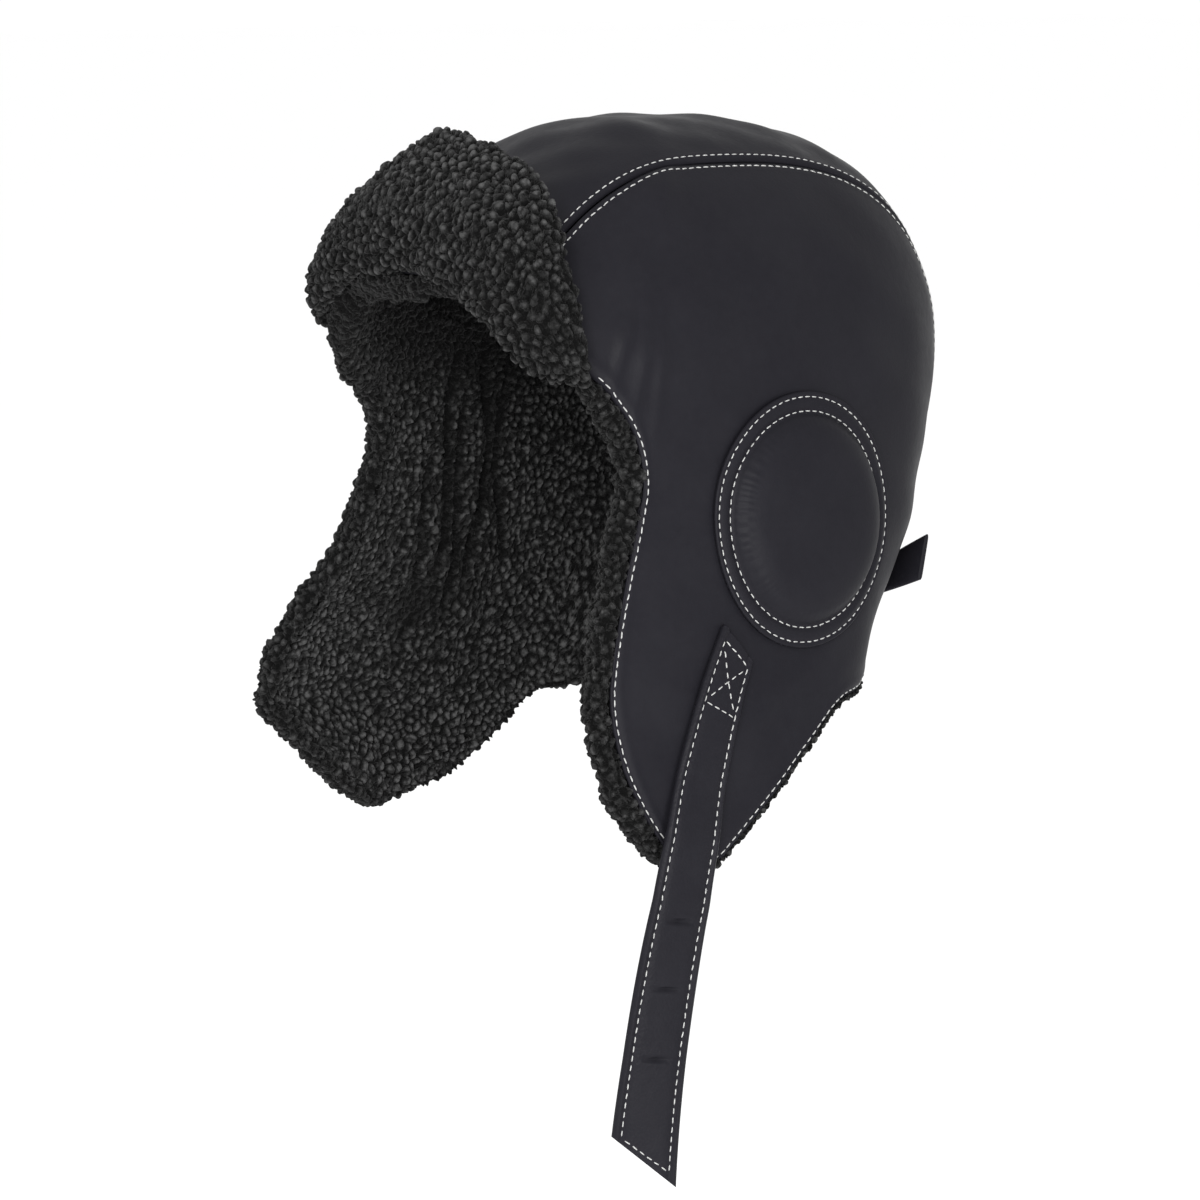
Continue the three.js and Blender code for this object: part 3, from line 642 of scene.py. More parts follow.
def hemRelief(distance):
    look = panelLook
    turn = -look["hemRound"] * np.maximum(1 - distance / look["hemRound"], 0) ** 2
    row = -0.00035 * np.exp(-(((distance - look["hemRow"]) / 0.0007) ** 2))
    puff = 0.0003 * np.exp(-(((distance - 0.0045) / 0.0018) ** 2))
    return turn + row + puff


# Folds pressed into the hide near the face, by plan angle, height, direction, size and rise
folds = [
    {"angle": 50, "level": 0.36, "turn": 68, "length": 0.020, "width": 0.0024, "rise": 0.0013},
    {"angle": 54, "level": 0.30, "turn": 74, "length": 0.024, "width": 0.0026, "rise": 0.0012},
    {"angle": 62, "level": 0.80, "turn": 38, "length": 0.013, "width": 0.0040, "rise": 0.0022},
    {"angle": 58, "level": 0.27, "turn": 80, "length": 0.018, "width": 0.0026, "rise": 0.0007},
    {"angle": 60, "level": 0.72, "turn": 84, "length": 0.014, "width": 0.0045, "rise": 0.0010},
    {"angle": 66, "level": 0.66, "turn": 88, "length": 0.022, "width": 0.0060, "rise": 0.0007},
    {"angle": 63, "level": -0.80, "turn": 60, "length": 0.030, "width": 0.0060, "rise": 0.0008},
    {"angle": 80, "level": -0.66, "turn": 45, "length": 0.028, "width": 0.0055, "rise": 0.0007},
    {"angle": 96, "level": -0.55, "turn": 30, "length": 0.026, "width": 0.0050, "rise": 0.0007},
]


def foldRelief(surface, side):
    total = np.zeros(surface.shape[:-1])
    for fold in folds:
        centre = panelPoint(np.array(float(fold["angle"])), np.array(heightOf(fold["level"])), side)
        away = surface - centre
        turn = math.radians(fold["turn"])
        alongFold = away[..., 1] * math.cos(turn) + away[..., 2] * math.sin(turn)
        acrossFold = -away[..., 1] * math.sin(turn) + away[..., 2] * math.cos(turn)
        near = np.exp(-((np.linalg.norm(away, axis=-1) / 0.06) ** 4))
        shape = np.exp(-((alongFold / fold["length"]) ** 2) - (acrossFold / fold["width"]) ** 2)
        total += fold["rise"] * shape * near
    return total


def wallPiece(name, surface, normals, relief, thickness):
    piece = gridPiece(name, toRow(surface + normals * relief[..., None]))
    outward = piece.data.polygons[len(piece.data.polygons) // 2]
    middle = normals.reshape(-1, 3)[outward.vertices[0]]
    if outward.normal.dot(Vector(middle)) < 0:
        piece.data.flip_normals()
    applyModifier(piece, "SOLIDIFY", thickness=thickness, offset=-1, use_even_offset=False)
    return piece


def leatherPanels():
    look = panelLook
    made = {}
    halfGap = hatForm["seamGap"] / 2
    for side, name in ((1, "side_panel_left"), (-1, "side_panel_right")):
        across, down = sharesOf(int(0.27 / look["step"]), int(0.24 / look["step"]))
        surface = sideSurface(side, across, down, hatForm["seamX"] + halfGap)
        normals = gridNormals(surface)
        face, nape, seam, bottom = edgeRuns(surface)
        hem = np.minimum(np.minimum(face, nape), bottom)
        relief = seamRelief(seam) + hemRelief(hem) + foldRelief(surface, side)
        relief += look["slack"] * ripples(surface, 0.07, 0.025, 14, 4 + side) * smoothStep(np.minimum(hem, seam), 0, 0.02)
        piece = wallPiece("leather_" + name, surface, normals, relief, hatForm["leather"])
        finishPiece(piece, leather, "leather", name)
        made[name] = surface, normals
    across, along = sharesOf(int(0.37 / look["step"]), int(0.09 / look["step"]))
    surface = centreSurface(across, along, hatForm["seamX"] - halfGap)
    normals = gridNormals(surface)
    left, right, front, nape = edgeRuns(surface)
    relief = seamRelief(np.minimum(left, right)) + hemRelief(nape)
    relief += 1.6 * look["slack"] * ripples(surface, 0.06, 0.02, 14, 9) * smoothStep(np.minimum(left, right), 0, 0.02)
    piece = wallPiece("leather_crown_centre_panel", surface, normals, relief, hatForm["leather"])
    finishPiece(piece, leather, "leather", "crown_centre_panel")
    made["centre"] = surface, normals
    print("leather panels made")
    return made


panels = leatherPanels()


# Fleece: every surface is covered in curled nubs

fleeceShape = {
    "wallNub": 0.0030,
    "wallRise": 0.0027,
    "rollNub": 0.0031,
    "rollRise": 0.0028,
    "flapNub": 0.0034,
    "flapRise": 0.0030,
}


def nubRelief(points, size, seed):
    flat = points.reshape(-1, 3)
    draw = np.random.default_rng(seed)
    warp = np.stack([ripples(flat, 0.008, 0.0028, 8, seed + k) for k in range(3)], -1) * 0.0007
    places = flat + warp
    tree = KDTree(len(places))
    for i, place in enumerate(places):
        tree.insert(place, i)
    tree.balance()
    free = np.ones(len(places), bool)
    seeds = []
    for i in draw.permutation(len(places)):
        if free[i]:
            seeds.append(i)
            reach = size * (0.72 + 0.5 * draw.random())
            for _, j, _ in tree.find_range(places[i], reach):
                free[j] = False
    nubs = KDTree(len(seeds))
    for k, i in enumerate(seeds):
        nubs.insert(places[i], k)
    nubs.balance()
    first = np.empty(len(places))
    second = np.empty(len(places))
    owner = np.empty(len(places), int)
    for i, place in enumerate(places):
        near = nubs.find_n(place, 2)
        first[i], second[i], owner[i] = near[0][2], near[1][2], near[0][1]
    edge = np.clip((second - first) / (0.95 * size), 0, 1)
    blob = np.sqrt(np.clip(1 - (first / (0.66 * size)) ** 2, 0, 1))
    dome = 0.45 * np.sqrt(1 - (1 - edge) ** 2) + 0.62 * blob * smoothStep(edge, 0, 0.35)
    tall = 0.62 + 0.38 * draw.random(len(seeds))[owner]
    lean = unit(draw.normal(size=(len(seeds), 3)))[owner]
    away = places - places[np.array(seeds)[owner]]
    slope = np.sum(away * lean, -1) / size
    relief = np.clip(dome * (tall + 0.35 * slope), 0, 1.3)
    # pile follows each nub's height; the fleece material turns it into painted shade between the nubs and painted light
    # on their tops
    pile = np.clip(dome * (0.78 + 0.22 * tall + 0.25 * slope), 0, 1.2)
    tone = draw.random(len(seeds))[owner]
    return [values.reshape(points.shape[:-1]) for values in (relief, pile, tone)]


def fleecePiece(name, surface, normals, size, rise, seed, slotNode, around=False, closed=None, creases=0, paintedShade=0):
    relief, pile, tone = nubRelief(surface, size, seed)
    # In a crease the nubs are flatter and dented in, and the lower pile paints shade into it
    relief, pile = relief * (1 - 0.6 * creases), pile * (1 - 0.8 * creases)
    # painted shade: the tone is lowered by this amount, darker where shade falls and lighter where it is negative
    tone = tone - paintedShade
    clump = ripples(surface, 0.03, 0.012, 8, seed + 50)
    if around:
        for values in (relief, pile, tone, clump):
            values[:, -1] = values[:, 0]
    lift = rise * (relief - 0.62) + 0.0005 * clump - 0.0022 * creases
    piece = gridPiece(name, toRow(surface + normals * lift[..., None]))
    addAttribute(piece, "pile", pile)
    addAttribute(piece, "tone", tone)
    face = piece.data.polygons[len(piece.data.polygons) // 2]
    if face.normal.dot(Vector(normals.reshape(-1, 3)[face.vertices[0]])) < 0:
        piece.data.flip_normals()
    if closed:
        closed(piece)
    finishPiece(piece, fleece, "fleece", slotNode)
    return piece


wallCreases = [  # on the wearer's right: plan angle, top and bottom level, sway in degrees
    {"angle": 69, "top": -0.1, "bottom": -0.62, "sway": 2.0, "width": 0.9, "deep": 0.7},
    {"angle": 73.5, "top": 0.2, "bottom": -0.4, "sway": 1.5, "width": 1.2, "deep": 1.0},
    {"angle": 77.5, "top": 0.05, "bottom": -0.5, "sway": -1.4, "width": 1.0, "deep": 0.9},
    {"angle": 84, "top": 0.2, "bottom": -0.42, "sway": 1.6, "width": 1.2, "deep": 1.0},
    {"angle": 90, "top": 0.1, "bottom": -0.36, "sway": -1.8, "width": 1.2, "deep": 0.9},
]
wallDimple = {"angle": 72, "level": -0.5, "width": 5, "tall": 0.075, "deep": 0.7}


def wallDents(surface):
    angle = np.degrees(np.arctan2(-surface[..., 0], -surface[..., 1]))
    level = levelOf(surface[..., 2])
    dents = 0 * angle
    for crease in wallCreases:
        line = crease["angle"] + crease["sway"] * np.sin(9 * level + crease["angle"])
        run = smoothStep(level, crease["bottom"] - 0.1, crease["bottom"] + 0.05)
        run = run * (1 - smoothStep(level, crease["top"] - 0.05, crease["top"] + 0.12))
        dents = np.maximum(dents, crease["deep"] * run * np.exp(-(((angle - line) / crease["width"]) ** 2)))
    across = (angle - wallDimple["angle"]) / wallDimple["width"]
    up = (level - wallDimple["level"]) / wallDimple["tall"]
    return np.maximum(dents, wallDimple["deep"] * np.exp(-(across**2) - up**2))


def paintedFlapShadow(surface):  # painted shadow: the lining's colour is darker under the front flap, and a little lighter elsewhere
    angle = np.degrees(np.arctan2(np.abs(surface[..., 0]), -surface[..., 1]))
    return 6.2 * smoothStep(levelOf(surface[..., 2]), 0.0, 0.42) * (1 - smoothStep(angle, 95, 125)) - 0.8


def liningWalls():
    inside = hatForm["leather"] + hatForm["liningGap"] + hatForm["lining"]
    steps = {1: 0.0017, -1: 0.0009, 0: 0.0017}
    for side, name in ((1, "left"), (-1, "right")):
        across, down = sharesOf(int(0.25 / steps[side]), int(0.22 / steps[side]))
        surface = sideSurface(side, across, down)
        normals = gridNormals(surface)
        # The walls' tone carries painted shadow under the front flap
        fleecePiece(
            "fleece_lining_" + name, surface - normals * inside, -normals,
            fleeceShape["wallNub"], fleeceShape["wallRise"], 20 + side, "fleece_lining",
            creases=wallDents(surface) if side < 0 else 0, paintedShade=paintedFlapShadow(surface),
        )
    across, along = sharesOf(int(0.34 / steps[0]), int(0.09 / steps[0]))
    surface = centreSurface(across, along)
    normals = gridNormals(surface)
    # The centre lining's tone carries painted shadow under the front flap
    fleecePiece(
        "fleece_lining_centre", surface - normals * inside, -normals,
        fleeceShape["wallNub"], fleeceShape["wallRise"], 31, "fleece_lining", paintedShade=paintedFlapShadow(surface),
    )
    print("lining walls made")


liningWalls()

rollWidths = [
    {"angle": 0, "share": 0.3},
    {"angle": 36, "share": 0.3},
    {"angle": 45, "share": 0.7},
    {"angle": 52, "share": 1.0},
    {"angle": 56, "share": 0.8},
    {"angle": 61, "share": 0.4},
    {"angle": 67, "share": 0.22},
    {"angle": 80, "share": 0.12},
    {"angle": 106, "share": 0.15},
    {"angle": 122, "share": 0.5},
    {"angle": 180, "share": 0.6},
]
rightRollWidths = [  # the wearer's right, by height instead
    {"level": -1.1, "share": 0.5},
    {"level": -0.8, "share": 0.6},
    {"level": -0.5, "share": 0.45},
    {"level": -0.2, "share": 0.55},
    {"level": 0.1, "share": 0.8},
    {"level": 0.27, "share": 1.5},
    {"level": 0.38, "share": 1.3},
    {"level": 0.6, "share": 0.5},
]
rollSection = [
    {"back": 0.006, "out": 0.0, "through": 0.0},
    {"back": 0.0, "out": 0.0, "through": -0.02},
    {"back": 0.0, "out": 0.45, "through": -0.06},
    {"back": 0.0, "out": 0.86, "through": 0.1},
    {"back": 0.0, "out": 1.0, "through": 0.5},
    {"back": 0.0, "out": 0.85, "through": 0.98},
    {"back": 0.0, "out": 0.4, "through": 1.25},
    {"back": 0.0, "out": 0.03, "through": 1.24},
    {"back": 0.0, "out": 0.0, "through": 1.0},
    {"back": 0.002, "out": 0.0, "through": 0.93},
]
rollLook = {"width": 0.009, "clear": 0.0001, "step": 0.0009}


def hatLoop(step):
    dense = 240
    line = np.linspace(0, 1, dense)
    thin = 0.0008 / 0.2
    pairs = []

    for side in (1, -1):
        def wall(share, side=side):
            return sideSurface(side, share[0][None], share[1][None])[0]
        faceLine = (0 * line, line), (0 * line + thin, line)
        bottomLine = (line, 0 * line + 1), (line, 0 * line + 1 - thin)
        napeLine = (0 * line + 1, line[::-1]), (0 * line + 1 - thin, line[::-1])
        parts = [faceLine, bottomLine, napeLine]
        sideRuns = [(wall(edge), wall(inner)) for edge, inner in parts]
        if side > 0:
            pairs += sideRuns
            back = (line, 0 * line + 1), (line, 0 * line + 1 - thin)
            pairs.append(tuple(centreSurface(a[None], b[None])[0] for a, b in back))
        else:
            pairs += [(edge[::-1], inner[::-1]) for edge, inner in sideRuns[::-1]]
            front = (line[::-1], 0 * line), (line[::-1], 0 * line + thin)
            pairs.append(tuple(centreSurface(a[None], b[None])[0] for a, b in front))
    edge = np.vstack([pair[0][:-1] for pair in pairs])
    inner = np.vstack([pair[1][:-1] for pair in pairs])
    path = resample(np.hstack([edge, inner]), step, closed=True)
    edge, inner = path[:-1, :3], path[:-1, 3:]
    along = unit(np.roll(edge, -3, 0) - np.roll(edge, 3, 0))
    out = edge - inner
    out = unit(out - np.sum(out * along, -1, keepdims=True) * along)
    for _ in range(4):
        out = unit(np.roll(out, 1, 0) + out + np.roll(out, -1, 0))
    normals = unit(np.cross(along, out))
    if np.sum(normals * edge) < 0:
        normals = -normals
    return edge, out, normals


def fleeceRoll():
    look = rollLook
    edge, out, normals = hatLoop(look["step"])
    angle = np.abs(np.degrees(np.arctan2(edge[:, 0], -edge[:, 1])))
    share = readTable(rollWidths, "angle", "share", angle)
    onRight = (edge[:, 0] < 0) * (1 - smoothStep(angle, 62, 74))
    share = share * (1 - onRight) + readTable(rightRollWidths, "level", "share", levelOf(edge[:, 2])) * onRight
    for _ in range(8):
        share = (np.roll(share, 1) + 2 * share + np.roll(share, -1)) / 4
    width = look["width"] * share
    line = np.linspace(0, 1, 200)
    shape = splineAt([[row["back"], row["out"], row["through"]] for row in rollSection], line)
    inside = -(hatForm["leather"] + hatForm["liningGap"] + hatForm["lining"])
    flatShape = shape * (-1, 0.008, hatForm["lining"]) + (0, look["clear"], 0)
    runs = np.concatenate([[0], np.cumsum(np.linalg.norm(np.diff(flatShape, axis=0), axis=1))])
    at = np.linspace(0, runs[-1], int(runs[-1] / look["step"]) + 1)
    shape = np.stack([np.interp(at, runs, shape[:, k]) for k in range(3)], -1)
    clear = look["clear"] * (shape[:, 0] < 0.0005)
    reach = -shape[None, :, 0] + clear[None] + width[:, None] * shape[None, :, 1]
    puff = 0.0045 * smoothStep(levelOf(edge[:, 2]), 0.30, 0.43) * smoothStep(-edge[:, 0], 0.0, 0.03)
    rise = inside + hatForm["lining"] * shape[None, :, 2] + puff[:, None] * smoothStep(shape[None, :, 2], 0.2, 1)
    surface = edge[:, None] + out[:, None] * reach[..., None] + normals[:, None] * (rise[..., None] + 0 * reach[..., None])
    surface = np.concatenate([surface, surface[:1]], 0).transpose(1, 0, 2)
    core = edge + out * (0.3 * width[:, None]) + normals * (inside / 2)
    core = np.concatenate([core, core[:1]], 0)
    outward = unit(np.cross(np.gradient(surface, axis=1), np.gradient(surface, axis=0)))
    if np.sum(outward * (surface - core[None])) < 0:
        outward = -outward
    # painted shadow under the front flap: the roll is darker at the front middle, and painted a little darker all round
    middle = smoothStep(surface[..., 0], -0.075, -0.05) * (1 - smoothStep(surface[..., 0], 0.02, 0.05))
    front = smoothStep(levelOf(surface[..., 2]), 0.28, 0.40) * (surface[..., 1] < 0)
    fleecePiece(
        "fleece_roll", surface, outward, fleeceShape["rollNub"], fleeceShape["rollRise"], 43, "fleece_lining",
        around=True, closed=lambda piece: editMesh(piece, weld), paintedShade=1.3 + 2.2 * middle * front,
    )
    print("fleece roll made")
    return edge, out, normals


hemLoop = fleeceRoll()


# Front flap, turned up: thick fleece, with leather behind

frontFlap = [
    {"at": 0, "footOut": 0, "footFront": 0.842, "footUp": 0.565, "headOut": 0, "headFront": 0.69, "headUp": 0.965},
    {"at": 0.35, "footOut": 0.356, "footFront": 0.86, "footUp": 0.512, "headOut": 0.4, "headFront": 0.7, "headUp": 0.875},
    {"at": 0.65, "footOut": 0.62, "footFront": 0.855, "footUp": 0.382, "headOut": 0.67, "headFront": 0.7, "headUp": 0.74},
    {"at": 0.86, "footOut": 0.81, "footFront": 0.785, "footUp": 0.252, "headOut": 0.79, "headFront": 0.69, "headUp": 0.56},
    {"at": 1.0, "footOut": 0.912, "footFront": 0.652, "footUp": 0.2, "headOut": 0.895, "headFront": 0.685, "headUp": 0.3},
]
flapLook = {
    "fleece": 0.012,
    "backing": 0.0012,
    "gap": 0.0003,
    "bulge": 0.008,
    "tilt": 0.012,
    "sag": {"deep": 0.006, "at": -0.58, "span": 0.26},  # of the top, on the right
    "rightRaise": {"foot": 0.018, "head": 0.010},
    "rightTuck": 0.0074,
    "setBack": 0.0008,
    "step": 0.0007,
}


def flapMiddle(share, rise):
    look = flapLook
    size = np.abs(share)
    right = np.where(share < 0, share * share, 0)
    sag = look["sag"]["deep"] * np.exp(-(((share - look["sag"]["at"]) / look["sag"]["span"]) ** 2))
    ends = []
    for end in ("foot", "head"):
        out, front, up = (readTable(frontFlap, "at", end + word, size) for word in ("Out", "Front", "Up"))
        ends.append(np.stack([
            np.sign(share) * hatForm["halfWidth"] * out * (1 - 0.05 * right),
            look["setBack"] - hatForm["frontReach"] * front + look["rightTuck"] * right * (1 - 0.6 * right * right),
            hatForm["crownHeight"] * up + look["rightRaise"][end] * right + (look["tilt"] * share - sag if end == "head" else 0),
        ], -1))
    bulge = look["bulge"] * np.sin(np.pi * rise) * (1 - 0.8 * share**4)
    points = ends[0] * (1 - rise[..., None]) + ends[1] * rise[..., None]
    return points + np.stack([0.5 * bulge * share, -bulge, 0 * bulge], -1)


def flapFrame(share, rise, step=0.01):
    points = flapMiddle(share, rise)
    along = flapMiddle(np.minimum(share + step, 1), rise) - flapMiddle(share - step, rise)
    up = flapMiddle(share, rise + step) - flapMiddle(share, rise - step)
    return points, unit(np.cross(along, up))


def frontFlapPieces():
    look = flapLook
    columns, rows = int(0.215 / look["step"]), int(0.185 / look["step"])
    turn, share = np.meshgrid(np.linspace(0, 2 * np.pi, rows + 1), np.linspace(-0.995, 0.995, columns + 1))
    cosine, sine = np.cos(turn), np.sin(turn)
    tip = np.sqrt(np.clip(1 - np.abs(share) ** 9, 0, 1))
    rise = 0.5 + 0.5 * np.sign(cosine) * np.abs(cosine) ** 0.72 * (0.35 + 0.65 * tip)
    points, normals = flapFrame(share, rise)
    thick = look["fleece"] / 2 * np.sign(sine) * np.abs(sine) ** 0.62 * (0.25 + 0.75 * tip)
    surface = points + normals * thick[..., None]
    surface[0] = surface[0].mean(0)
    surface[-1] = surface[-1].mean(0)
    outward = unit(np.cross(np.gradient(surface, axis=1), np.gradient(surface, axis=0)))
    if np.sum(outward * normals * np.sign(thick)[..., None]) < 0:
        outward = -outward
    outward[0], outward[-1] = (-1, 0, 0), (1, 0, 0)
    # painted shade: the flap's fleece is darker overall and low down, and painted lighter towards its top
    fleecePiece(
        "fleece_front_flap", surface, outward, fleeceShape["flapNub"], fleeceShape["flapRise"], 61, "front_flap_fleece",
        around=True, closed=lambda piece: editMesh(piece, weld), paintedShade=1.1 - 1.6 * smoothStep(surface[..., 2], 0.065, 0.115),
    )
    share, rise = sharesOf(60, 160)
    share = (share - 0.5) * 2 * 0.78
    points, normals = flapFrame(share, 0.17 + 0.66 * rise)
    relief = 0.0004 * ripples(points, 0.05, 0.02, 10, 71)
    back = points - normals * (look["fleece"] / 2 + look["gap"])
    piece = wallPiece("leather_front_flap_backing", back, -normals, relief, look["backing"])
    finishPiece(piece, leather, "leather", "front_flap_backing")
    print("front flap made")


frontFlapPieces()


# Ear pads

padLook = {
    "radius": 0.0465,
    "narrowing": 0.94,
    "lift": 0.0009,
    "domeRadius": 0.0385,
    "flange": 0.0016,
    "dome": 0.0080,
    "centreBack": 0.0114,
    "centreUp": -0.0226,
    "lean": 0.0049,  # of the foot, towards the face
    "rows": (0.0446, 0.0394),  # radius of each row of topstitching
    "gathers": 71,
}
padDome = [
    {"out": 0, "rise": 1.0},
    {"out": 0.4, "rise": 0.97},
    {"out": 0.7, "rise": 0.85},
    {"out": 0.88, "rise": 0.56},
    {"out": 0.97, "rise": 0.2},
    {"out": 1.0, "rise": 0.0},
]


def padPlace(radius, turn):
    look = padLook
    up = radius * np.cos(turn)
    lean = look["lean"] * (np.minimum(up, 0) / look["radius"]) ** 2
    return look["centreBack"] + look["narrowing"] * radius * np.sin(turn) - lean, look["centreUp"] + up


def padPoint(radius, turn, side):
    return sidePoint(*padPlace(radius, turn), side)


def padRise(radius, turn):
    look = padLook
    share = radius / look["domeRadius"]
    rise = look["dome"] * readTable(padDome, "out", "rise", np.minimum(share, 1))
    for row in look["rows"]:
        rise -= 0.00035 * np.exp(-(((radius - row) / 0.0007) ** 2))
    rise += 0.0004 * np.exp(-(((radius - 0.042) / 0.0015) ** 2))
    # Short gathers where the dome is drawn in, deepest towards the face
    swing = turn * look["gathers"] + 3 * np.sin(5 * turn) + 2 * np.sin(11 * turn + 1)
    drawn = smoothStep(share, 0.80, 0.92) * (1 - smoothStep(share, 0.96, 1.0))
    strength = 0.00003 + 0.00014 * np.clip(-np.sin(turn), 0, 1) ** 3
    return rise + strength * drawn * np.sin(swing)


def earPads():
    look = padLook
    for side, name in ((1, "ear_pad_left"), (-1, "ear_pad_right")):
        rings = np.concatenate([np.linspace(0, 0.026, 14)[:-1], np.linspace(0.026, 0.0461, 40)])
        turn, radius = np.meshgrid(np.linspace(0, 2 * np.pi, 361), rings)
        base = padPoint(radius, turn, side)
        normals = sideNormal(*padPlace(radius, turn), side, 0.001)
        top = base + normals * (look["lift"] + look["flange"] + padRise(radius, turn))[..., None]
        edge = padPoint(0 * turn[:1] + look["radius"], turn[:1], side)
        rim = [edge + normals[-1:] * (look["lift"] + look["flange"] * share) for share in (0.78, 0.3)]
        under = base[-1:] + normals[-1:] * (look["lift"] + 0.0001)
        floor = padPoint(0 * turn[:1] + 0.03, turn[:1], side) + normals[-1:] * look["lift"]
        close = base[:1] + normals[:1] * look["lift"]
        surface = np.concatenate([top, *rim, under, floor, close])
        piece = gridPiece("leather_" + name, toRow(surface))
        editMesh(piece, weld, faceOut)
        finishPiece(piece, leather, "leather", name)
    print("ear pads made")


earPads()


# Straps: a strap is a path of centres with its width and thickness directions

strapLook = {
    "width": 0.0245,
    "thickness": 0.003,
    "length": 0.191,
    "lift": 0.0006,
    "edgeLift": 0.0024,
    "topSlant": -0.008,
    "tipSlant": 0.020,
    "startY": -0.027,
    "startZ": -0.0645,
    "row": 0.0031,  # from each edge to its topstitching
    "holes": (0.535, 0.665, 0.80),  # shares of the length
    "holeRadius": 0.00085,
}
strapHang = [
    {"along": 0, "lean": 28, "swing": 0, "width": 0.7},
    {"along": 0.15, "lean": 22, "swing": 0, "width": 0.81},
    {"along": 0.4, "lean": 14, "swing": 0, "width": 0.95},
    {"along": 0.6, "lean": 9, "swing": 10, "width": 1.0},
    {"along": 0.8, "lean": 5.5, "swing": 18, "width": 1.0},
    {"along": 1, "lean": 1, "swing": 22, "width": 1.0},
]


def chinFrames(steps=26):
    look = strapLook
    drop = hatForm["flapDrop"]
    stepLength = look["length"] / steps
    frames = []
    y, z, lastX = look["startY"], look["startZ"], 0
    for i in range(steps + 1):
        along = i / steps
        lean = math.radians(readTable(strapHang, "along", "lean", along))
        swing = math.radians(readTable(strapHang, "along", "swing", along))
        onFlap = z > -drop * 1.06
        at = np.array(y), np.array(max(z, -drop * 1.06))
        place, normal = sidePoint(*at, 1), sideNormal(*at, 1)
        lift = look["lift"] + look["edgeLift"] * smoothStep(-z, 0.8 * drop, drop)
        if onFlap:
            lastX = place[0] + (lift + look["thickness"] / 2) * normal[0]
        else:
            if z < -1.15 * drop:
                lastX -= stepLength * 0.08
            normal = np.array([math.cos(swing), -math.sin(swing), 0])
        direction = np.array([0, -math.sin(lean), -math.cos(lean)])
        direction = unit(direction - normal * direction.dot(normal))
        width = look["width"] * readTable(strapHang, "along", "width", along)
        frames.append([np.array([lastX, y, z]), direction, normal, width])
        y -= stepLength * math.sin(lean)
        z -= stepLength * math.cos(lean)
    for _ in range(12):
        for i in range(1, len(frames) - 1):
            frames[i][2] = unit(frames[i - 1][2] + frames[i][2] + frames[i + 1][2])
    centres = np.array([row[0] for row in frames])
    directions = np.array([row[1] for row in frames])
    normals = np.array([row[2] for row in frames])
    return centres, directions, normals, np.array([row[3] for row in frames])


class Strap:
    def __init__(self, centres, directions, normals, widths, thickness, topSlant=0, tipSlant=0):
        self.parts = centres, directions, normals
        self.widths, self.thickness = widths, thickness
        self.topSlant, self.tipSlant = topSlant, tipSlant
        self.bend = None
        steps = np.linalg.norm(np.diff(centres, axis=0), axis=1)
        self.length = float(steps.sum())

    def at(self, along, across):  # along 0 to 1, across -1 to 1; gives the middle surface
        centre, direction, normal = (splineAt(part, along) for part in self.parts)
        width = splineAt(self.widths[:, None], along)[..., 0]
        direction, normal = unit(direction), unit(normal)
        wide = unit(np.cross(normal, direction))
        slant = -self.topSlant * np.clip(1 - along * 5, 0, 1) + self.tipSlant * np.clip(along * 5 - 4, 0, 1)
        point = centre + wide * (across * width / 2)[..., None] + direction * (across * slant / 2)[..., None]
        return point, normal, wide, width

    def piece(self, name, step, relief=None):
        around = np.linspace(0, 2 * np.pi, 97)
        cosine, sine = np.cos(around), np.sin(around)
        across = np.sign(cosine) * np.abs(cosine) ** 0.30
        rise = np.sign(sine) * np.abs(sine) ** 0.45
        along = np.linspace(0, 1, int(self.length / step) + 1)
        acrossGrid, alongGrid = np.meshgrid(across, along)
        point, normal, wide, width = self.at(alongGrid, acrossGrid)
        height = self.thickness / 2 * rise[None] * (0.75 + 0.25 * np.minimum(1, (1 - np.abs(acrossGrid)) * 8))
        if relief is not None:
            height = height + relief(alongGrid, acrossGrid, width) * (rise[None] > 0.5)
        surface = point + normal * height[..., None]
        caps = []
        for ring in (surface[0], surface[-1]):
            middle = ring.mean(0)
            caps.append([middle + (ring - middle) * share for share in (0, 0.5, 0.97)])
        first = [ring[None] for ring in caps[0]]
        last = [ring[None] for ring in caps[1][::-1]]
        surface = np.concatenate([*first, surface, *last])
        if self.bend:
            surface = self.bend(surface)
        piece = gridPiece(name, toRow(surface))
        editMesh(piece, weld, faceOut)
        return piece


def chinRelief(along, across, width):
    look = strapLook
    inset = (1 - np.abs(across)) * width / 2
    groove = -0.00035 * np.exp(-(((inset - look["row"]) / 0.0008) ** 2))
    puff = 0.0005 * np.exp(-(((inset - 0.0012) / 0.0009) ** 2)) + 0.0003 * smoothStep(inset, look["row"], 0.007)
    total = groove + puff
    for share in look["holes"]:
        away = np.hypot((along - share) * look["length"], across * width / 2)
        total += -0.0022 * np.exp(-((away / look["holeRadius"]) ** 4)) + 0.0003 * np.exp(-(((away - 0.002) / 0.0009) ** 2))
    return total


chinStrap = Strap(*chinFrames(), strapLook["thickness"], strapLook["topSlant"], strapLook["tipSlant"])
strapPiece = chinStrap.piece("strap_chin", 0.0007, chinRelief)
finishPiece(strapPiece, strapLeather, "strap_leather", "chin_strap")
print("chin strap made")


# Buckles, and the straps that hold them

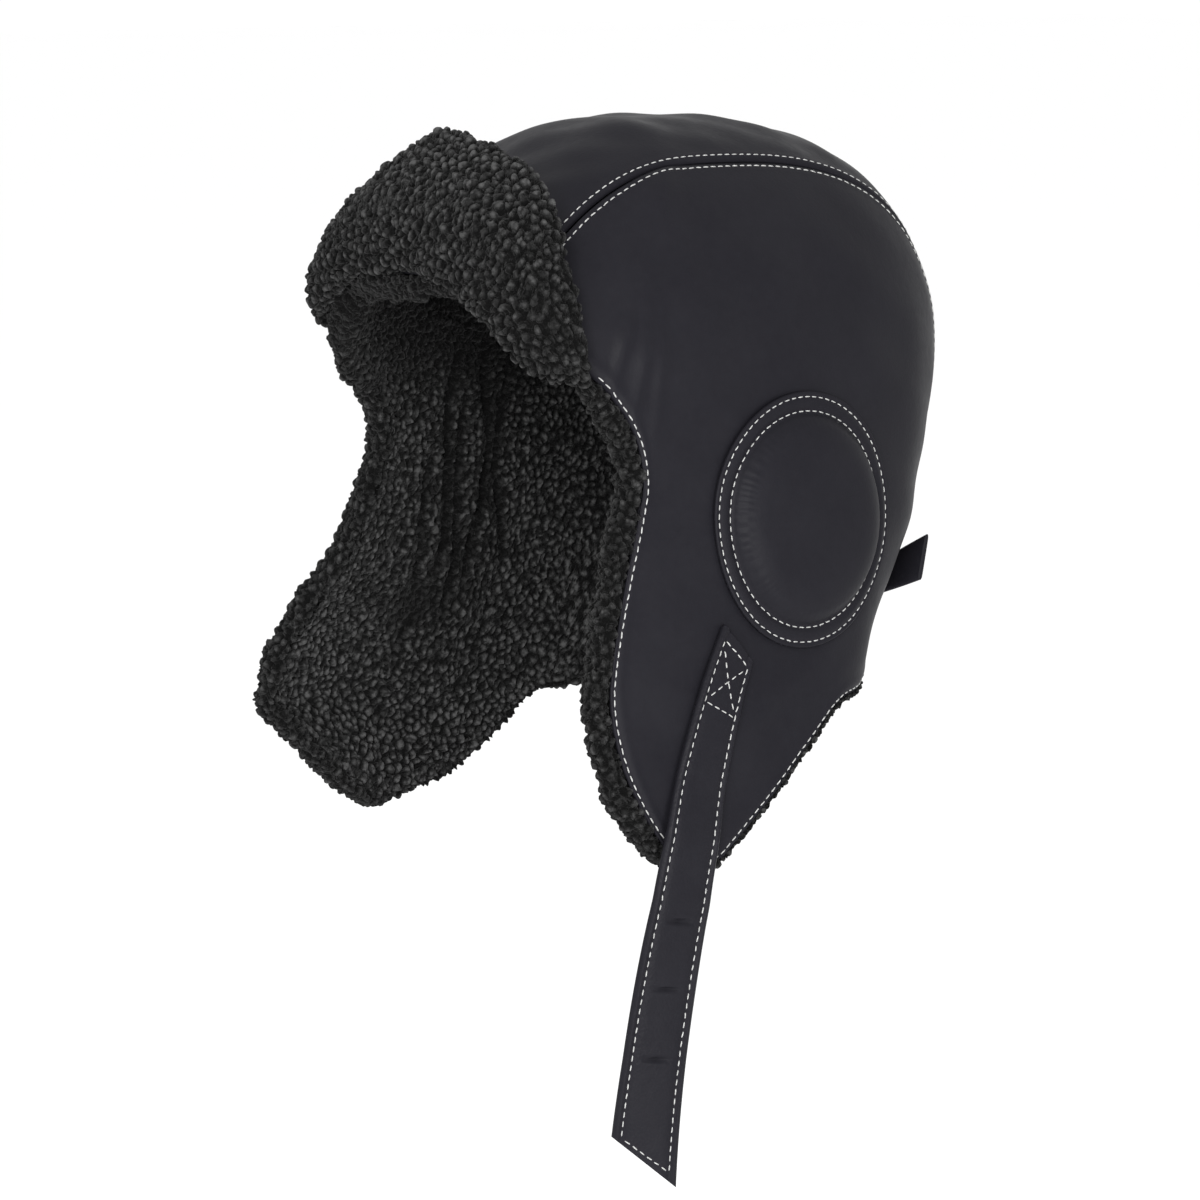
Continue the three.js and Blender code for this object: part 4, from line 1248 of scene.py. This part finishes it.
buckleLook = {
    "y": -0.044,
    "z": -0.096,
    "lean": 14,  # degrees
    "strapLength": 0.034,
    "strapWidth": 0.0245,
    "layer": 0.0015,
    "lift": 0.0008,
    "wire": 0.0026,
    "length": 0.019,
    "stiff": (0.003, 0.016),  # between these the strap starts to follow the flap
}
napeLook = {
    "height": -0.054,
    "barAngle": 157,
    "strapLength": 0.013,
    "strapWidth": 0.016,
    "layer": 0.001,
    "thickness": 0.002,
    "lift": 0.0009,
    "wire": 0.002,
    "length": 0.018,
    "endAngle": 222,
    "underAngle": 169.5,
    "underLift": 0.0015,
    "tailLength": 0.0245,
    "tailFlare": 15,
    "tailRise": 0.0115,
    "tailTip": 18,
    "tailSlant": -0.0075,
}
napeRise = [
    {"back": 0.78, "share": 0.05},
    {"back": 0.5, "share": 0.5},
    {"back": 0.22, "share": 0.92},
    {"back": 0, "share": 1},
]
fitGap = 0.0003


def foldedStrap(look):  # a strap's end folded round a bar, flat: x along, y out of the leather, z across
    layer, bar = look["layer"], look["wire"] / 2
    rim = bar + fitGap + layer
    eye = rim - layer / 2
    turn = np.radians(np.linspace(270, 62, 25))
    path = np.concatenate([
        [(look["strapLength"], layer / 2), (look["strapLength"] * 0.5, layer / 2), (rim, layer / 2)],
        np.stack([eye * np.cos(turn), rim + eye * np.sin(turn)], -1),
        [(rim * 1.7, 1.55 * layer), (look["strapLength"] * 0.5, 1.5 * layer), (look["strapLength"], 1.5 * layer)],
    ])
    path = resample(path, 0.001)
    for _ in range(3):
        path[1:-1] = (path[:-2] + 2 * path[1:-1] + path[2:]) / 4
    centres = np.concatenate([path, 0 * path[:, :1]], -1)
    directions = unit(np.gradient(centres, axis=0))
    normals = np.cross(directions, (0, 0, 1.0))
    widths = np.full(len(path), look["strapWidth"])
    return Strap(centres, directions, normals, widths, layer * 0.96)


def settleOn(place, normal, along, lift):  # sets a flat drawing down on the leather
    x = unit(along - normal * np.dot(along, normal))
    z = np.cross(x, normal)
    axes = np.stack([x, normal, z])
    return lambda points: place + normal * lift + points @ axes


def tube(name, path, radii, sides=14, closed=False, level=(0, 1, 0)):
    along = unit(np.gradient(path, axis=0))
    if closed:
        along[0] = along[-1] = unit(path[1] - path[-2])
    level = np.array(level, float)
    out = unit(np.cross(along, level))
    up = unit(np.cross(out, along))
    turn = np.linspace(0, 2 * np.pi, sides + 1)
    ring = out[:, None] * np.cos(turn)[None, :, None] + up[:, None] * np.sin(turn)[None, :, None]
    surface = path[:, None] + ring * np.reshape(radii, (-1, 1, 1))
    return name, surface


def wireBuckle(name, look, place, slotNode):
    radius = look["wire"] / 2
    height = radius + fitGap + look["layer"]
    half = (look["strapWidth"] + 0.003) / 2 + radius
    corner = 0.0034
    turns = np.radians(np.linspace(0, 90, 9))
    arc = np.stack([np.cos(turns), np.sin(turns)], -1) * corner
    middleX, middleZ = -look["length"] / 2, 0
    reachX, reachZ = look["length"] / 2 - corner, half - corner
    corners = []
    for k, (a, b) in enumerate(((1, 1), (-1, 1), (-1, -1), (1, -1))):
        spun = arc.copy()
        for _ in range(k):
            spun = np.stack([-spun[:, 1], spun[:, 0]], -1)
        corners.append(spun + (middleX + a * reachX, middleZ + b * reachZ))
    flat = resample(np.concatenate(corners), 0.0011, closed=True)
    path = np.stack([flat[:, 0], height + 0 * flat[:, 0], flat[:, 1]], -1)
    frameName, surface = tube(name + "_frame", path, np.full(len(path), radius), closed=True)
    wire = gridPiece(frameName, toRow(place(surface)))
    editMesh(wire, weld, faceOut)
    finishPiece(wire, steel, "steel", slotNode)
    pinRadius = radius * 0.66
    around = np.radians(np.linspace(-150, 90, 22))
    loop = (radius + pinRadius) * np.stack([np.cos(around), np.sin(around)], -1) + (0, height)
    far = -look["length"]
    straight = [(far * 0.35, height + radius + 0.9 * pinRadius), (far * 0.7, height + radius + pinRadius),
                (far * 0.97, height + radius + pinRadius), (far - 1.2 * radius, height + radius + 0.8 * pinRadius)]
    path = resample(np.concatenate([loop, straight]), 0.0006)
    for _ in range(2):
        path[1:-1] = (path[:-2] + 2 * path[1:-1] + path[2:]) / 4
    path = np.concatenate([path, 0 * path[:, :1]], -1)
    radii = np.full(len(path), pinRadius)
    radii[0] = radii[-1] = 1e-6
    radii[1] = radii[-2] = pinRadius * 0.8
    pinName, surface = tube(name + "_pin", path, radii, 12, level=(0, 0, 1))
    pin = gridPiece(pinName, toRow(place(surface)))
    editMesh(pin, weld, faceOut)
    finishPiece(pin, steel, "steel")


def cutSlot(piece, centre, size, place):  # a slot for the buckle's pin
    deselectAll()
    bpy.ops.mesh.primitive_cube_add(size=1)
    cutter = bpy.context.object
    corners = vertexPlaces(cutter) * size + centre
    cutter.data.vertices.foreach_set("co", toRow(place(corners)).reshape(-1).astype(np.float32))
    cutter.data.update()
    deselectAll()
    applyModifier(piece, "BOOLEAN", object=cutter, operation="DIFFERENCE", solver="EXACT")
    bpy.data.objects.remove(cutter, do_unlink=True)


def buckleStrap():
    look = buckleLook
    lean = math.radians(look["lean"])
    home = sidePoint(np.array(look["y"]), np.array(look["z"]), -1)
    normal = sideNormal(look["y"], look["z"], -1)
    up = np.array([0, math.sin(lean), math.cos(lean)])
    rigid = settleOn(home, normal, up, look["lift"])

    def bend(points):
        x, y, z = points[..., 0], points[..., 1], points[..., 2]
        placeY = look["y"] + x * math.sin(lean) - z * math.cos(lean)
        placeZ = look["z"] + x * math.cos(lean) + z * math.sin(lean)
        flat = sidePoint(placeY, placeZ, -1) + sideNormal(placeY, placeZ, -1) * (look["lift"] + y)[..., None]
        share = smoothStep(x, *look["stiff"])[..., None]
        return rigid(points) * (1 - share) + flat * share

    strap = foldedStrap(look)
    strap.bend = bend
    piece = strap.piece("strap_buckle", 0.0007)
    radius = look["wire"] / 2
    rim = radius + fitGap + look["layer"]
    cutSlot(piece, (-rim * 0.4, 1.2 * rim, 0), (2 * rim, 3 * rim, 2 * (radius + 2 * fitGap)), rigid)
    finishPiece(piece, strapLeather, "strap_leather", "buckle_strap")
    wireBuckle("buckle", look, rigid, "buckle")
    print("buckle strap made")
    return strap


buckleFold = buckleStrap()


def napeNode(angle, z):
    step = 0.01
    side = -1 if angle > 180 else 1
    turn = np.array(360.0 - angle if angle > 180 else float(angle))
    z = np.array(z)
    point = formPoint(turn, z)
    normal = unit(np.cross(formPoint(turn + step, z) - formPoint(turn - step, z),
                           formPoint(turn, z + step / 100) - formPoint(turn, z - step / 100)))
    if normal[1] < 0:
        normal = -normal
    return point * (side, 1, 1), normal * (side, 1, 1)


def napeStrap():
    look = napeLook
    home, normal = napeNode(look["barAngle"], look["height"])
    left = unit(-np.cross((0, 0, 1), normal))
    place = settleOn(home, normal, left, look["lift"])
    tab = foldedStrap(look)
    tab.bend = place
    piece = tab.piece("strap_nape_tab", 0.0007)
    radius, layer = look["wire"] / 2, look["layer"]
    rim = radius + fitGap + layer
    cutSlot(piece, (-rim * 0.4, 1.2 * rim, 0), (2 * rim, 3 * rim, 2 * (radius + 2 * fitGap)), place)
    finishPiece(piece, strapLeather, "strap_leather", "nape_tab")
    wireBuckle("nape_buckle", look, place, "nape_buckle")

    half = look["thickness"] / 2
    height = rim
    over = look["lift"] + 2 * (height + layer) - look["wire"] + 2 * fitGap + half
    centres, normals = [], []
    for angle in np.linspace(look["endAngle"], look["underAngle"], 12):
        point, out = napeNode(angle, look["height"])
        centres.append(point + out * (look["underLift"] + half))
        normals.append(out)
    for row in napeRise:
        centres.append(home + normal * over * row["share"] - left * row["back"] * look["length"])
        normals.append(normal)
    flare, tip = math.radians(look["tailFlare"]), math.radians(look["tailTip"])
    outwards = np.array([math.cos(flare), math.sin(flare), 0])
    start = home + normal * over
    for share in (0.35, 0.7, 1):
        centres.append(start + outwards * look["tailLength"] * share + (0, 0, look["tailRise"] * share))
        tipped = np.array([-math.sin(flare), math.cos(flare), -math.tan(tip)])
        normals.append(unit(tipped * share + normal * (1 - share)))
    path = resample(np.concatenate([centres, normals], 1), 0.004)
    for _ in range(2):
        path[1:-1] = (path[:-2] + 2 * path[1:-1] + path[2:]) / 4
    centres = path[:, :3]
    directions = unit(np.gradient(centres, axis=0))
    normals = unit(path[:, 3:])
    normals = unit(normals - directions * np.sum(normals * directions, -1, keepdims=True))
    strap = Strap(
        centres, directions, normals, np.full(len(path), look["strapWidth"]), look["thickness"],
        tipSlant=look["tailSlant"],
    )
    piece = strap.piece("strap_nape", 0.0008)
    cutSlot(piece, (-look["length"] / 2 + 0.001, height, 0),
            (look["length"], 0.012, look["wire"] + 2 * fitGap), place)
    finishPiece(piece, strapLeather, "strap_leather", "nape_strap")
    print("nape strap made")
    return tab, strap


napeTab, napeBelt = napeStrap()


# Topstitching: every stitch is a short length of light thread

stitchLook = {
    "length": 0.0030,
    "pitch": 0.0035,
    "width": 0.00054,
    "height": 0.00048,
    "dip": 0.00040,  # how far the ends go down into the hide
    "proud": 0.00012,
}


def restOn(piece, points, normals, reach=0.006):  # drops points on a piece's real surface
    placed = points.copy()
    for i, (point, normal) in enumerate(zip(toRow(points), normals)):
        start = Vector(point + normal * reach)
        hit, place, _, _ = piece.ray_cast(start, Vector(-normal), distance=2 * reach)
        if hit:
            placed[i] = points[i] + normal * (np.array(place) - point).dot(normal)
    return placed


def stitchRow(points, normals, pitch=None, closed=False):  # evenly spaced places with their directions
    path = resample(np.hstack([points, normals]), pitch or stitchLook["pitch"], closed)
    middles = (path[1:] + path[:-1]) / 2
    along = unit(path[1:, :3] - path[:-1, :3])
    normals = unit(middles[:, 3:])
    normals = unit(normals - along * np.sum(normals * along, -1, keepdims=True))
    return middles[:, :3], along, normals


def stitching(name, rows, seed, scale=1.0):
    look = stitchLook
    centres, along, normals = (np.concatenate(parts) for parts in zip(*rows))
    count = len(centres)
    draw = np.random.default_rng(seed)
    deselectAll()
    bpy.ops.mesh.primitive_uv_sphere_add(segments=7, ring_count=5, radius=1)
    piece = bpy.context.object
    piece.name = name
    shape = vertexPlaces(piece)[:, [2, 0, 1]]
    shape[:, 0] = np.sign(shape[:, 0]) * np.abs(shape[:, 0]) ** 0.7
    applyModifier(piece, "ARRAY", count=count)
    across = np.cross(normals, along)
    yaw = np.radians(draw.normal(0, 3.5, count))[:, None]
    turned = along * np.cos(yaw) + across * np.sin(yaw)
    across = np.cross(normals, turned)
    long = look["length"] / 2 * scale * draw.uniform(0.92, 1.06, (count, 1, 1))
    wide = look["width"] / 2 * scale * draw.uniform(0.92, 1.08, (count, 1, 1))
    rise = look["proud"] + shape[:, 2:] * look["height"] / 2 * scale - look["dip"] * shape[:, :1] ** 2
    places = centres[:, None] + turned[:, None] * (shape[:, :1] * long) + across[:, None] * (shape[:, 1:2] * wide)
    places = places + normals[:, None] * rise
    piece.data.vertices.foreach_set("co", toRow(places).reshape(-1).astype(np.float32))
    piece.data.update()
    finishPiece(piece, thread, None)


def seamStitches():
    rows = []
    ray = np.linspace(hatForm["frontRay"] + 0.5, hatForm["napeRay"] - 1.2, 200)
    for side, name in ((1, "side_panel_left"), (-1, "side_panel_right")):
        for outwards, owner in ((1, name), (-1, "crown_centre_panel")):
            x = side * (hatForm["seamX"] + outwards * panelLook["seamRow"])
            points = archPoint(np.full(ray.shape, x), ray)
            grid = np.stack([archPoint(np.full(ray.shape, x + nudge), ray) for nudge in (-0.0005, 0.0, 0.0005)])
            normals = gridNormals(grid)[1]
            centres, along, normals = stitchRow(points, normals)
            centres = restOn(bpy.data.objects["leather_" + owner], centres, normals)
            rows.append((centres, along, normals))
    stitching("stitching_crown", rows, 5)


def hemStitches():
    edge, out, normals = hemLoop
    points = edge - out * panelLook["hemRow"]
    kept = points[:, 2] < 0.034
    rows = []
    start = int(np.argmin(kept))
    order = np.roll(np.arange(len(points)), -start)
    runs = np.split(order, np.nonzero(np.diff(kept[order].astype(int)))[0] + 1)
    for run in runs:
        if kept[run[0]] and len(run) > 3:
            centres, along, up = stitchRow(points[run], normals[run])
            for name in ("side_panel_left", "side_panel_right", "crown_centre_panel"):
                centres = restOn(bpy.data.objects["leather_" + name], centres, up, 0.004)
            rows.append((centres, along, up))
    stitching("stitching_edges", rows, 6)


def padStitches():
    rows = []
    turn = np.linspace(0, 2 * np.pi, 181)[:-1]
    for side, name in ((1, "ear_pad_left"), (-1, "ear_pad_right")):
        for radius in padLook["rows"]:
            y, z = padPlace(radius, turn)
            centres, along, normals = stitchRow(
                sidePoint(y, z, side), sideNormal(y, z, side, 0.001), 0.0033, closed=True,
            )
            rows.append((restOn(bpy.data.objects["leather_" + name], centres, normals, 0.012), along, normals))
    stitching("stitching_pads", rows, 7, 0.95)


def strapLine(strap, start, end, count=60):  # a line on a strap's face, from and to (along, across)
    share = np.linspace(0, 1, count)
    along = start[0] + (end[0] - start[0]) * share
    across = start[1] + (end[1] - start[1]) * share
    point, normal, _, _ = strap.at(along, across)
    face = point + normal * strap.thickness / 2
    if strap.bend:
        above = strap.bend(face + normal * 0.001)
        face = strap.bend(face)
        normal = unit(above - face)
    return stitchRow(face, normal)


def strapStitches():
    look = strapLook
    rows = []

    def sew(strap, piece, start, end):
        centres, along, normals = strapLine(strap, start, end)
        rows.append((restOn(piece, centres, normals, 0.002), along, normals))

    inset = 1 - 2 * look["row"] / look["width"]
    top, box, tip = 0.022, 0.132, 0.983
    chin = bpy.data.objects["strap_chin"]
    for side in (1, -1):
        sew(chinStrap, chin, (top, side * inset), (tip, side * inset))
    for along in (top, box, tip):
        sew(chinStrap, chin, (along, -inset * 0.9), (along, inset * 0.9))
    for side in (1, -1):
        sew(chinStrap, chin, (top + 0.012, side * inset * 0.8), (box - 0.012, -side * inset * 0.8))
    for strap, name, inset in ((buckleFold, "strap_buckle", 0.72), (napeTab, "strap_nape_tab", 0.68)):
        piece = bpy.data.objects[name]
        for side in (1, -1):
            sew(strap, piece, (0.70, side * inset), (0.965, side * inset))
        for along in (0.70, 0.965):
            sew(strap, piece, (along, -inset), (along, inset))
    belt = bpy.data.objects["strap_nape"]
    for side in (1, -1):
        sew(napeBelt, belt, (0.03, side * 0.7), (0.16, side * 0.7))
    for along in (0.03, 0.16):
        sew(napeBelt, belt, (along, -0.7), (along, 0.7))
    stitching("stitching_straps", rows, 8, 0.95)


bpy.context.view_layer.update()
seamStitches()
hemStitches()
padStitches()
strapStitches()
print("stitching made")


# Plain pale floor well below, and soft studio light

studio = {
    "floorDrop": 0.75,
    "floorSize": 60,
    "floorShade": 0.97,
    "worldShade": 1.0,
    "worldPower": 1.03,
    "key": {"power": 50, "size": 0.9, "turn": 44, "rise": 14, "away": 2.2},
    "left": {"power": 16, "size": 0.8, "turn": -24, "rise": 55, "away": 2.2},
    "side": {"power": 28, "size": 0.9, "turn": 76, "rise": -8, "away": 2.2},
}


def softLight(name, power, size, turn, rise, away):
    target = Vector((0, 0, -seat - 0.02))
    turn, rise = math.radians(turn), math.radians(rise)
    back = Vector((math.sin(turn) * math.cos(rise), -math.cos(turn) * math.cos(rise), math.sin(rise)))
    bpy.ops.object.light_add(type="AREA", location=target + back * away)
    light = bpy.context.object
    light.name = name
    light.data.shape = "DISK"
    light.data.size = size
    light.data.energy = power
    light.rotation_euler = (-back).to_track_quat("-Z", "Y").to_euler()


def studioLight():
    deselectAll()
    bpy.ops.mesh.primitive_plane_add(size=studio["floorSize"], location=(0, 0, 0))
    floor = bpy.context.object
    floor.name = "floor"
    places = vertexPlaces(floor) - (0, 0, studio["floorDrop"])
    floor.data.vertices.foreach_set("co", places.reshape(-1).astype(np.float32))
    floor.data.update()
    paint = Paint("paleFloor")
    paint.set(Base_Color=shade(*[studio["floorShade"]] * 3), Roughness=0.9)
    floor.data.materials.append(paint.material)
    world = bpy.data.worlds.new("studioWorld")
    world.use_nodes = True
    background = world.node_tree.nodes["Background"]
    background.inputs["Color"].default_value = shade(*[studio["worldShade"]] * 3)
    background.inputs["Strength"].default_value = studio["worldPower"]
    bpy.context.scene.world = world
    for name in ("key", "left", "side"):
        softLight(name + "Light", **studio[name])
    bpy.context.scene.view_settings.view_transform = "Standard"
    bpy.context.scene.view_settings.look = "None"
    print("light and floor placed")


studioLight()
